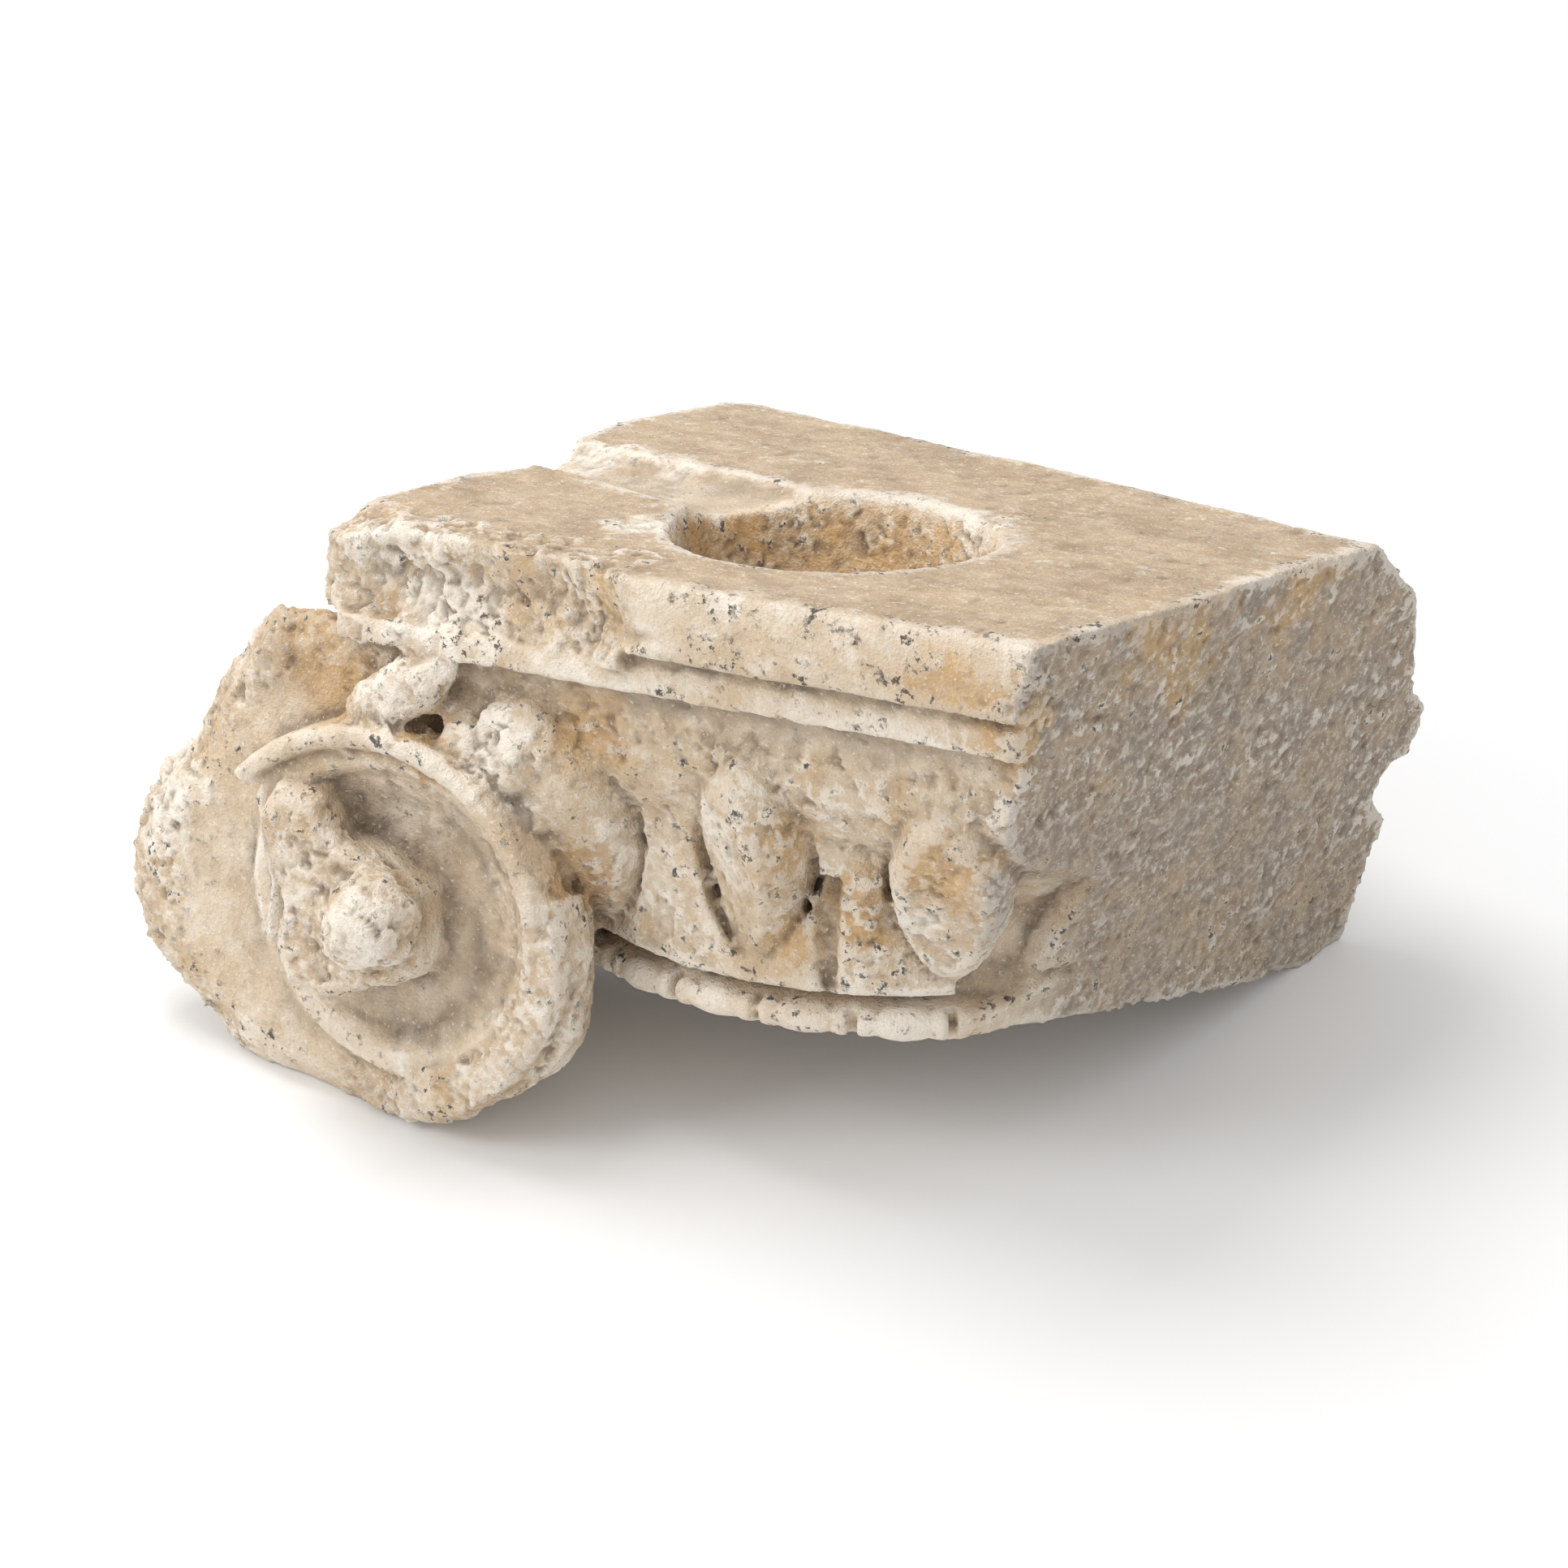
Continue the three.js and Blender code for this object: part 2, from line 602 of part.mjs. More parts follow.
// Broken second turn, a proud shelf, and the boss of the eye on it
function eye() {
  const outline = [
    [-2.63, 1.9],
    [-2.28, 0.66],
    [-2.0, -0.13],
    [-2.17, -1.05],
    [-1.9, -1.93],
    [-0.97, -2.0],
    [0.17, -1.71],
    [1.2, -1.38],
    [1.41, -0.82],
    [1.24, 0.7],
    [0.38, 1.28],
    [-0.66, 1.66],
    [-1.18, 2.7],
    [-2.1, 2.8],
  ];
  const shape = new THREE.Shape(
    outline.map(([x, z]) => new THREE.Vector2(EYE_X + 6 + x * EYE_RADIUS, EYE_Z + 6 + z * EYE_RADIUS)),
  );
  const thickness = TURN_PROUD + 18;
  const shelf = new THREE.ExtrudeGeometry(shape, {
    depth: thickness,
    bevelEnabled: true,
    bevelThickness: 5,
    bevelSize: 4,
    bevelOffset: -4,
    bevelSegments: 1,
    steps: 2,
  });
  shelf.rotateX(Math.PI / 2);
  shelf.translate(0, FLOOR_Y + 12, 0);
  roughened(shelf, 1.2, 33, 2);
  shaped(shelf, (point) => {
    const right = clamp((point.x - EYE_X) / (2 * EYE_RADIUS), 0, 1);
    point.y += point.y < FLOOR_Y - 12 ? 9 * right : 0;
  });
  const boss = lump(
    [EYE_X + 15, FLOOR_Y - EYE_PROUD + EYE_RADIUS, EYE_Z + 6],
    [EYE_RADIUS * 1.05, EYE_RADIUS * 1.3, EYE_RADIUS * 1.15],
    18,
    0.1,
    4,
    2,
  );
  const hump = lump(
    [EYE_X + 8, FLOOR_Y - TURN_PROUD, EYE_Z + 2],
    [EYE_RADIUS * 1.3, EYE_RADIUS * 0.9, EYE_RADIUS * 1.3],
    0,
    0.08,
    3,
    1,
  );
  return solid(shelf).add(hump).add(boss);
}

// Bolster behind the volute, broken off before the middle of the side
function bolster() {
  const length = BOLSTER_BREAK_Y - (FLOOR_Y + VOLUTE_THICKNESS) + 24;
  const body = new THREE.CylinderGeometry(1, 1, 1, 30, 7);
  shaped(body, (point) => {
    const t = point.y + 0.5;
    const radius = lerp(BOLSTER_FRONT_RADIUS, BOLSTER_WAIST_RADIUS, 1 - (1 - t) ** 2);
    point.x *= radius;
    point.z *= radius;
    point.y = FLOOR_Y + VOLUTE_THICKNESS - 24 + t * length;
    point.y += t > 0.99 ? 9 * wave(point, 70, 2.2) : 0;
  });
  body.translate(EYE_X + 6, 0, EYE_Z + 3);
  const webWidth = 0.34 * ECHINUS_FOOT_RADIUS;
  const web = new THREE.BoxGeometry(webWidth, length + 50, CANALIS_FOOT_Z - EYE_Z, 3, 4, 4);
  roughened(web, 1.6, 60, 3);
  web.translate(
    EYE_X + webWidth / 2,
    BOLSTER_BREAK_Y + 12 - length / 2,
    (CANALIS_FOOT_Z + EYE_Z) / 2,
  );
  return solid(body).add(solid(web));
}

// Fill of the right side, down to the stump of the second bolster
function rightFlank() {
  const stump = new THREE.CylinderGeometry(STUMP_RADIUS, STUMP_RADIUS - 6, REAR_Y + 90, 26, 4);
  roughened(stump, 1.6, 58, 0.2);
  stump.translate(STUMP_X, (REAR_Y - 90) / 2 + 10, EYE_Z + 4);
  const width = RIGHT_REACH - 96;
  const fill = new THREE.BoxGeometry(width, REAR_Y + 120, CANALIS_FOOT_Z - EYE_Z + 4, 3, 6, 4);
  roughened(fill, 1.6, 58, 1.4);
  fill.translate(96 + width / 2, (REAR_Y - 100) / 2 + 10, (CANALIS_FOOT_Z + EYE_Z) / 2);
  return solid(stump).add(solid(fill));
}

// Remains of the palmette in the corner between canalis, volute and first egg
function palmette() {
  const y = -CANALIS_FRONT;
  const upper = lump([-163, y - 4, 112], [35, 15, 16], -30, 0.1, 1.2);
  const lower = lump([-133, y + 2, 84], [17, 15, 22], 12, 0.1, 3.4);
  const root = lump([-150, y + 10, 96], [34, 16, 20], 10, 0.06, 0.6);
  const pit = lump([-150, y - 6, 97], [11, 17, 8], -30, 0.05, 2);
  return root.add(upper).add(lower).subtract(pit);
}

// Round hollow with a shallow channel that leaves it on the left
function hollow() {
  const outline = [
    [0, BED_Z - HOLLOW_DEPTH],
    [HOLLOW_FLOOR_RADIUS, BED_Z - HOLLOW_DEPTH],
    [lerp(HOLLOW_FLOOR_RADIUS, HOLLOW_RADIUS, 0.55), BED_Z - 0.8 * HOLLOW_DEPTH],
    [lerp(HOLLOW_FLOOR_RADIUS, HOLLOW_RADIUS, 0.82), BED_Z - 0.45 * HOLLOW_DEPTH],
    [HOLLOW_RADIUS - 3, BED_Z - 0.12 * HOLLOW_DEPTH],
    [HOLLOW_RADIUS, BED_Z],
    [HOLLOW_RADIUS + 3, BED_Z + 6],
    [0, BED_Z + 6],
  ];
  const bowl = turned(outline, 32);
  shaped(bowl, (point) => {
    const angle = Math.atan2(point.y, point.x);
    const worn = 1 + 0.022 * Math.sin(3 * angle + 0.5) + 0.014 * Math.sin(5 * angle);
    point.x = HOLLOW_X + point.x * worn;
    point.y = HOLLOW_Y + point.y * worn;
  });
  const length = 2.2 * LEFT_EDGE;
  const trough = new THREE.CylinderGeometry(1, 1, length, 20, 10);
  trough.rotateZ(Math.PI / 2);
  shaped(trough, (point) => {
    const spread = 1 + 0.12 * Math.sin(point.x / 31);
    point.y *= 0.5 * CHANNEL_WIDTH * spread;
    point.z *= CHANNEL_DEPTH;
  });
  trough.translate(length / 2, 0, BED_Z + 1);
  trough.rotateZ(radians(CHANNEL_TURN));
  trough.translate(HOLLOW_X - 8, HOLLOW_Y + 24, 0);
  return solid(bowl).add(solid(trough));
}

// Sawn and pick-dressed face that ends the fragment on the right
function rightCut() {
  const size = 620;
  const block = new THREE.BoxGeometry(size, size, size, 1, 15, 15);
  block.translate(size / 2, size / 3, 0);
  roughened(block, BREAK_RELIEF * 0.5, 47, 1.3);
  block.rotateY(radians(CUT_LEAN));
  block.rotateZ(radians(-CUT_SPLAY));
  block.translate(CUT_TOP_X, -ABACUS_FRONT, BED_Z);
  shaped(block, (point) => {
    const low = clamp((CUT_CURL_Z - point.z) / 60, 0, 1);
    const forward = clamp((-60 - point.y) / 50, 0, 1);
    point.x -= point.x < RIGHT_REACH ? CUT_CURL * low * forward : 0;
  });
  return solid(block);
}

// Rough break at the rear with its sloping upper arris
function rearBreak() {
  const size = 700;
  const wall = new THREE.BoxGeometry(size, 200, size, 12, 1, 12);
  roughened(wall, BREAK_RELIEF, 66, 0.5);
  wall.rotateX(radians(3));
  wall.translate(0, REAR_Y + 100, 100);
  const arris = new THREE.BoxGeometry(size, 200, 300, 13, 1, 14);
  shaped(arris, (point) => {
    const down = clamp(-point.z / ARRIS_REACH, 0, 1);
    point.y += ARRIS_SWELL * Math.sin(Math.PI * down ** 1.5);
  });
  roughened(arris, BREAK_RELIEF, 58, 2.5);
  arris.translate(0, 100, 0);
  arris.rotateX(radians(44));
  arris.rotateZ(radians(-13.5));
  arris.translate(0, REAR_EDGE - 24, BED_Z);
  const notch = lump([CUT_TOP_X + 34, REAR_Y + 2, 34], [34, 24, 20], 30, 0.07, 1, 2);
  return solid(wall).add(solid(arris)).add(notch);
}

// Everything below the ground line of the lying fragment
function ground() {
  const size = 1400;
  const block = new THREE.BoxGeometry(size, size, size).translate(0, 0, -size / 2);
  return solid(block.applyMatrix4(restTurn().invert()).applyMatrix4(groundShift()));
}

function restTurn() {
  const turn = new THREE.Euler(radians(-LEAN_BACK), radians(-LEAN_SIDE), 0, 'YXZ');
  return new THREE.Matrix4().makeRotationFromEuler(turn);
}

function groundShift() {
  const up = new THREE.Vector3(0, 0, 1).transformDirection(restTurn().invert());
  return new THREE.Matrix4().makeTranslation(up.multiplyScalar(-GROUND_DROP));
}

// Stone without the small pockets that no opening reaches
function filled(body) {
  const shells = body.decompose().filter((shell) => shell.volume() > 0);
  return shells.reduce((whole, shell) => whole.add(shell));
}

// The fragment in the carving frame
function fragment() {
  const shaftLoss = new THREE.BoxGeometry(900, 900, 200, 13, 13, 1);
  roughened(shaftLoss, BREAK_RELIEF, 64, 0.7);
  shaftLoss.translate(0, 0, NECK_Z - 100);
  const underside = solid(shaftLoss);
  const carved = core()
    .subtract(underside)
    .add(abacus())
    .add(canalis())
    .add(eggAndDart())
    .add(beadAndReel())
    .add(bolster())
    .add(rightFlank())
    .add(voluteDisc())
    .add(innerTurn())
    .add(spiralFillet())
    .add(eye())
    .add(palmette());
  const broken = carved
    .subtract(hollow())
    .subtract(rightCut())
    .subtract(rearBreak())
    .subtract(ground());
  return filled(broken);
}

// Flat-shaded mesh of a solid
function stoneMesh(body, name) {
  const data = body.getMesh();
  const geometry = new THREE.BufferGeometry();
  geometry.setAttribute('position', new THREE.BufferAttribute(data.vertProperties, 3));
  geometry.setIndex(new THREE.BufferAttribute(data.triVerts, 1));
  geometry.applyMatrix4(restTurn());
  geometry.computeBoundingBox();
  const box = geometry.boundingBox;
  geometry.translate(
    -(box.min.x + box.max.x) / 2,
    -(box.min.y + box.max.y) / 2,
    -box.min.z,
  );
  const marble = new THREE.MeshStandardMaterial({
    color: MARBLE_COLOUR,
    roughness: MARBLE_ROUGHNESS,
    metalness: 0,
  });
  const mesh = new THREE.Mesh(geometry, marble);
  mesh.name = name;
  return mesh;
}

const capital = new THREE.Group();
capital.name = 'ionic_capital';
capital.add(stoneMesh(fragment(), 'capital'));

export default capital;
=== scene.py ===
"""A broken Ionic capital of weathered marble, lying on a pale floor."""

from __future__ import annotations

import json
import logging
import math
from dataclasses import dataclass, field
from enum import Enum

import bpy
import numpy as np
from mathutils import Matrix, Vector

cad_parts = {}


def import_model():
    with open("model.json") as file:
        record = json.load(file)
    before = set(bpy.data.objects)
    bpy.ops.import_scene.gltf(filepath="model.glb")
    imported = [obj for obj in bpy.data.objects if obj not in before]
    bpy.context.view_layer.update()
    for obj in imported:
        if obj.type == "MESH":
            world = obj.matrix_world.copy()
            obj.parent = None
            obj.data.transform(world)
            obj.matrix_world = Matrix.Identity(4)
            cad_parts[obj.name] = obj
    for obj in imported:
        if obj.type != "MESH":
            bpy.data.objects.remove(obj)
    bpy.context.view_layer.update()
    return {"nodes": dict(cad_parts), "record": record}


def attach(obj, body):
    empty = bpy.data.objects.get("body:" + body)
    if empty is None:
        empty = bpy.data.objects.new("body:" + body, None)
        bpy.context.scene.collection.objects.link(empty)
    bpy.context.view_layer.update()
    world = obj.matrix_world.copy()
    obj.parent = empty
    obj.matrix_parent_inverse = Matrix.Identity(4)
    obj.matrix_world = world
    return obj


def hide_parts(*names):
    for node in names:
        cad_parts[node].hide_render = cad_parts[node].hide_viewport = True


LOG = logging.getLogger("capital")
MILLIMETRE = 0.001

Colour = tuple[float, float, float, float]
Place = tuple[float, float, float]


def rising(value: np.ndarray, start: float, width: float) -> np.ndarray:
    """Returns a mask that is 0 below start and 1 from a width above it."""
    return np.clip((value - start) / width, 0, 1)


def falling(value: np.ndarray, end: float, width: float) -> np.ndarray:
    """Returns a mask that is 0 above end and 1 from a width below it."""
    return np.clip((end - value) / width, 0, 1)


class Surface(Enum):
    """Kinds of surface that the stone shows, each a painted mask on the mesh."""

    BED = "bed"
    CUT = "cut"
    FRESH = "fresh"
    OCHRE = "ochre"
    HOLLOW = "inner"
    BROKEN = "broken"
    # Painted shade laid in recesses and corners
    CAVITY = "recess_shade"
    ARRIS = "arris"


@dataclass(frozen=True)
class Lie:
    """How the capital lies: its carving frame inside the frame of the ground.

    Attributes:
        lean_back: Turn about the front's own axis, in degrees.
        lean_side: Turn towards the volute, in degrees.
        bed_point: A point of the top bed in the carving frame, in millimetres.
    """

    lean_back: float = -15.9
    lean_side: float = -6.7
    bed_point: Place = (110.0, -60.0, 191.0)

    def turn(self) -> np.ndarray:
        """Returns the 3 by 3 turn from the carving frame to the ground's."""
        back = Matrix.Rotation(math.radians(self.lean_back), 3, "X")
        side = Matrix.Rotation(math.radians(self.lean_side), 3, "Y")
        return np.array(side @ back)

    def origin(self, bed_on_ground: Place) -> np.ndarray:
        """Finds the carving frame's origin.

        Args:
            bed_on_ground: Where the bed point lies in the ground's frame, in metres.

        Returns:
            The origin in the ground's frame, in millimetres.
        """
        placed = np.array(bed_on_ground) / MILLIMETRE
        return placed - self.turn() @ np.array(self.bed_point)


@dataclass(frozen=True)
class Spot:
    """A soft round region of the stone in the carving frame, in millimetres."""

    surface: Surface
    centre: Place
    reach: float
    weight: float = 1.0


@dataclass(frozen=True)
class Landmarks:
    """Places of the carving in its own frame, in millimetres.

    Attributes:
        bed_low: Where the top bed's skin begins, by height.
        cut_normal: Which way the rough cut on the right faces.
        cut_distance: How far that cut lies along its normal.
        rear: Where the broken rear begins, by depth.
        under: Where the broken underside begins, by depth.
        hollow: Centre of the round hollow, across and in depth.
        hollow_reach: Radius of the hollow with its lip.
        hollow_floor: Height of the hollow's floor.
        hollow_lip: Height of the hollow's upper edge.
        scoop_right: Right end of the abacus's scooped break.
        scoop_low: Lower edge of that break.
        eye: Centre of the volute, across and in height.
        rim_reach: Distance of the broken rim from the eye.
        foot_reach: Distance of the volute's broken foot from the eye.
        foot_angle: Where that foot begins round the eye, in degrees.
        boss: Centre of the broken plate round the eye, across and in height.
        boss_reach: Radius of that plate.
        shells_left: Left end of the eggs.
        shells_low: Lower end of the eggs.
        shells_high: Upper end of the eggs.
    """

    bed_low: float = 180.0
    cut_normal: Place = (0.938, -0.179, -0.296)
    cut_distance: float = 141.2
    rear: float = -10.0
    under: float = -120.0
    hollow: tuple[float, float] = (-2.0, -89.0)
    hollow_reach: float = 80.0
    hollow_floor: float = 110.0
    hollow_lip: float = 188.0
    scoop_right: float = -30.0
    scoop_low: float = 146.0
    eye: tuple[float, float] = (-176.0, 3.0)
    rim_reach: float = 112.0
    foot_reach: float = 76.0
    foot_angle: float = 245.0
    boss: tuple[float, float] = (-182.0, 8.0)
    boss_reach: float = 62.0
    shells_left: float = -120.0
    shells_low: float = -6.0
    shells_high: float = 126.0


class Grain:
    """Smooth repeatable noise on a lattice of hashed values."""

    def __init__(self, seed: int) -> None:
        """Keeps the seed that tells one noise from another."""
        self.seed = seed

    def _corner(self, cell: np.ndarray) -> np.ndarray:
        """Returns one value from -1 to 1 for each lattice corner."""
        mixed = cell[:, 0] * 73856093 ^ cell[:, 1] * 19349663 ^ cell[:, 2] * 83492791
        mixed = (mixed + self.seed * 2654435761) & 0xFFFFFFFF
        mixed = (mixed ^ (mixed >> 15)) * 2246822519 & 0xFFFFFFFF
        mixed = (mixed ^ (mixed >> 13)) * 3266489917 & 0xFFFFFFFF
        mixed = mixed ^ (mixed >> 16)
        return mixed.astype(np.float64) / 2147483647.5 - 1.0

    def at(self, points: np.ndarray, size: float) -> np.ndarray:
        """Noise of one size.

        Args:
            points: Places in millimetres, one row each.
            size: Distance between lattice corners in millimetres.

        Returns:
            One value from about -1 to 1 for each place.
        """
        scaled = points / size + 1000.0
        cell = np.floor(scaled).astype(np.int64)
        part = scaled - cell
        part = part * part * (3.0 - 2.0 * part)
        total = np.zeros(len(points))
        for corner in range(8):
            step = np.array([corner & 1, (corner >> 1) & 1, (corner >> 2) & 1])
            share = np.prod(np.where(step == 1, part, 1.0 - part), axis=1)
            total += share * self._corner(cell + step)
        return total

    def layered(self, points: np.ndarray, size: float, layers: int) -> np.ndarray:
        """Noise of several sizes, each half as large as the one before.

        Args:
            points: Places in millimetres, one row each.
            size: Largest lattice distance in millimetres.
            layers: How many sizes are added.

        Returns:
            One value for each place.
        """
        total = np.zeros(len(points))
        for layer in range(layers):
            total += self.at(points + 17.3 * layer, size / 2**layer) / 2**layer
        return total / 1.6

    def facets(self, points: np.ndarray, size: float) -> np.ndarray:
        """Small tilted planes that meet in steps, as broken crystals do.

        Args:
            points: Places in millimetres, one row each.
            size: Usual breadth of a plane in millimetres.

        Returns:
            One height from about -1 to 1 for each place.
        """
        scaled = points / size + 1000.0
        home = np.floor(scaled).astype(np.int64)
        nearest = np.full(len(points), 9.0)
        height = np.zeros(len(points))
        for corner in range(27):
            cell = home + np.array([corner % 3 - 1, corner // 3 % 3 - 1, corner // 9 - 1])
            draws = np.stack([self._corner(cell + 7919 * axis) for axis in range(6)], axis=1)
            gap = scaled - (cell + 0.5 + 0.45 * draws[:, :3])
            away = (gap * gap).sum(axis=1)
            closer = away < nearest
            plane = (gap * draws[:, 3:]).sum(axis=1) + 0.5 * draws[:, 3]
            height = np.where(closer, plane, height)
            nearest = np.where(closer, away, nearest)
        return height


@dataclass
class StoneRelief:
    """Sizes of the weathering and of the broken faces, in millimetres.

    Attributes:
        voxel: Breadth of the net's faces before thinning.
        easing_steps: How often the sharp arrises are smoothed.
        worn_height: Height of the soft waves of the worn skin.
        worn_size: Length of those waves.
        chip_height: Height of the steps on broken faces.
        chip_size: Breadth of those steps.
        flake_share: Breadth of the small flakes against that of the steps.
        flake_height: Height of the flakes on the worn skin.
        warp_height: How far the steps' edges wander.
        warp_size: Length of that wandering.
        pick_height: Depth of the pick marks on the cut faces.
        pick_size: Breadth of the pick marks.
        bed_wear: Depth of the pits in the top bed.
        near_rounds: Rounds of averaging that show the fine edges.
        far_rounds: Rounds of averaging that show the broad edges.
        most_triangles: How many triangles the stone keeps.
    """

    voxel: float = 2.1
    easing_steps: int = 2
    worn_height: float = 0.8
    worn_size: float = 26.0
    chip_height: float = 2.8
    chip_size: float = 12.0
    flake_share: float = 0.45
    flake_height: float = 0.35
    warp_height: float = 2.5
    warp_size: float = 9.0
    pick_height: float = 1.5
    pick_size: float = 8.0
    bed_wear: float = 1.8
    near_rounds: int = 3
    far_rounds: int = 14
    most_triangles: int = 190000


@dataclass
class CapitalStone:
    """The capital: one block with its relief, breaks and painted masks."""

    lie: Lie
    marks: Landmarks = field(default_factory=Landmarks)
    relief: StoneRelief = field(default_factory=StoneRelief)
    spots: tuple[Spot, ...] = (
        # White bruises and young chips
        Spot(Surface.FRESH, (-136, -200, 155), 34, 0.9),
        Spot(Surface.FRESH, (-175, -198, 176), 26, 0.5),
        Spot(Surface.FRESH, (-108, -206, 96), 26, 0.85),
        Spot(Surface.FRESH, (-104, -200, 68), 16, 0.9),
        Spot(Surface.FRESH, (-42, -178, 45), 34, 0.6),
        Spot(Surface.FRESH, (2, -195, 66), 20, 0.55),
        Spot(Surface.FRESH, (94, -175, 40), 20, 0.7),
        Spot(Surface.FRESH, (70, -168, 4), 16, 0.6),
        Spot(Surface.FRESH, (-163, -208, 112), 22, 0.6),
        Spot(Surface.FRESH, (-97, -200, -62), 34, 0.4),
        Spot(Surface.FRESH, (-150, -204, -96), 34, 0.45),
        Spot(Surface.FRESH, (-159, -240, 8), 26, 0.75),
        Spot(Surface.FRESH, (-205, -222, 20), 20, 0.5),
        Spot(Surface.FRESH, (-305, -187, 30), 36, 0.7),
        Spot(Surface.FRESH, (-262, -185, 118), 34, 0.5),
        Spot(Surface.FRESH, (-173, -7, 186), 24, 0.7),
        Spot(Surface.FRESH, (-132, -10, 187), 20, 0.6),
        Spot(Surface.FRESH, (45, -30, 190), 24, 0.6),
        Spot(Surface.FRESH, (-76, -135, 191), 20, 0.7),
        Spot(Surface.FRESH, (-5, -198, 62), 26, 0.9),
        # Broken faces with steps and flakes
        Spot(Surface.BROKEN, (-108, -206, 92), 36, 1.0),
        Spot(Surface.BROKEN, (-163, -203, 112), 40, 1.0),
        Spot(Surface.BROKEN, (-133, -197, 84), 26, 1.0),
        Spot(Surface.BROKEN, (102, -190, 58), 38, 0.7),
        Spot(Surface.BROKEN, (0, -198, 62), 30, 0.5),
        Spot(Surface.BROKEN, (-42, -178, 45), 36, 0.6),
        Spot(Surface.BROKEN, (66, -175, 25), 34, 0.9),
        Spot(Surface.BROKEN, (163, -212, 150), 36, 0.7),
        # Warm patina
        Spot(Surface.OCHRE, (-198, -150, 186), 46, 0.9),
        Spot(Surface.OCHRE, (66, -175, 40), 30, 0.7),
        Spot(Surface.OCHRE, (102, -190, 66), 26, 0.6),
        Spot(Surface.OCHRE, (-66, -196, 104), 26, 0.8),
        Spot(Surface.OCHRE, (-72, -180, 40), 30, 0.7),
        Spot(Surface.OCHRE, (-35, -150, 45), 18, 0.9),
        Spot(Surface.OCHRE, (30, -182, 70), 26, 0.85),
        Spot(Surface.OCHRE, (26, -168, 20), 22, 0.9),
        Spot(Surface.OCHRE, (62, -172, 40), 24, 0.95),
        Spot(Surface.OCHRE, (112, -188, 70), 30, 0.85),
        Spot(Surface.OCHRE, (90, -165, 98), 20, 0.5),
        Spot(Surface.OCHRE, (128, -217, 168), 32, 0.8),
        Spot(Surface.OCHRE, (150, -205, 140), 30, 0.8),
        Spot(Surface.OCHRE, (-149, -200, 96), 22, 1.0),
        Spot(Surface.OCHRE, (-133, -205, 84), 18, 0.8),
        Spot(Surface.OCHRE, (-198, -196, 106), 30, 0.7),
        Spot(Surface.OCHRE, (185, -110, 186), 60, 0.5),
        Spot(Surface.OCHRE, (205, -20, 176), 44, 0.6),
        # This spot is painted shade: a warm dark patch under the abacus at the volute's top
        Spot(Surface.OCHRE, (-222, -193, 128), 34, 0.7),
        Spot(Surface.OCHRE, (-150, -230, 10), 20, 0.5),
        # Painted shade in dark corners and recesses
        Spot(Surface.CAVITY, (-234, -192, 120), 24, 0.45),
        Spot(Surface.CAVITY, (-66, -95, 165), 26, 0.45),
        Spot(Surface.CAVITY, (38, -172, 40), 14, 0.4),
        Spot(Surface.CAVITY, (76, -165, 34), 10, 0.5),
    )

    def build(self, node: bpy.types.Object, origin: np.ndarray) -> bpy.types.Object:
        """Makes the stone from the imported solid.

        Args:
            node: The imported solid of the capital.
            origin: The carving frame's origin in the ground's frame, in millimetres.

        Returns:
            The finished stone, in place in its mesh.
        """
        bpy.ops.object.select_all(action="DESELECT")
        mesh = node.data.copy()
        mesh.name = "capital_stone"
        stone = bpy.data.objects.new("capital_stone", mesh)
        bpy.context.collection.objects.link(stone)
        stone.select_set(True)
        bpy.context.view_layer.objects.active = stone
        mesh.materials.clear()
        bpy.ops.object.mode_set(mode="EDIT")
        bpy.ops.mesh.select_all(action="SELECT")
        bpy.ops.mesh.remove_doubles(threshold=0.00001)
        bpy.ops.object.mode_set(mode="OBJECT")
        self._remesh(stone)
        self._ease(stone, self.relief.easing_steps)
        self._weather(stone, origin)
        self._thin(stone)
        self._paint(stone, origin)
        bpy.ops.object.shade_smooth()
        return stone

    def _remesh(self, stone: bpy.types.Object) -> None:
        """Gives the solid an even net of small faces."""
        remesh = stone.modifiers.new("net", "REMESH")
        remesh.mode = "VOXEL"
        remesh.voxel_size = self.relief.voxel * MILLIMETRE
        remesh.adaptivity = 0.0
        bpy.ops.object.modifier_apply(modifier=remesh.name)

    def _ease(self, stone: bpy.types.Object, steps: int) -> None:
        """Wears the sharp arrises down a little."""
        ease = stone.modifiers.new("ease", "SMOOTH")
        ease.factor = 0.5
        ease.iterations = steps
        bpy.ops.object.modifier_apply(modifier=ease.name)

    def _thin(self, stone: bpy.types.Object) -> None:
        """Keeps the faces where the relief needs them and drops the rest."""
        stone.data.calc_loop_triangles()
        count = len(stone.data.loop_triangles)
        thin = stone.modifiers.new("thin", "DECIMATE")
        thin.ratio = min(1.0, self.relief.most_triangles / count)
        bpy.ops.object.modifier_apply(modifier=thin.name)

    def _places(self, stone: bpy.types.Object, origin: np.ndarray) -> tuple[np.ndarray, np.ndarray]:
        """Reads the corners and normals of the stone in the carving frame.

        Args:
            stone: The stone.
            origin: The carving frame's origin, in millimetres.

        Returns:
            The corners in millimetres and their unit normals.
        """
        mesh = stone.data
        corners = np.empty(len(mesh.vertices) * 3)
        mesh.vertices.foreach_get("co", corners)
        normals = np.empty(len(mesh.vertices) * 3)
        mesh.vertex_normals.foreach_get("vector", normals)
        turn = self.lie.turn()
        places = (corners.reshape(-1, 3) / MILLIMETRE - origin) @ turn
        return places, normals.reshape(-1, 3) @ turn

    def _cut(self, places: np.ndarray, normals: np.ndarray) -> np.ndarray:
        """Finds the rough cut on the right.

        Args:
            places: Corners in the carving frame.
            normals: Their normals.

        Returns:
            A mask from 0 to 1.
        """
        cut_normal = np.array(self.marks.cut_normal)
        away = self.marks.cut_distance - places @ cut_normal
        return np.clip(1.4 - away / 12, 0, 1) * rising(normals @ cut_normal, 0.25, 0.35)

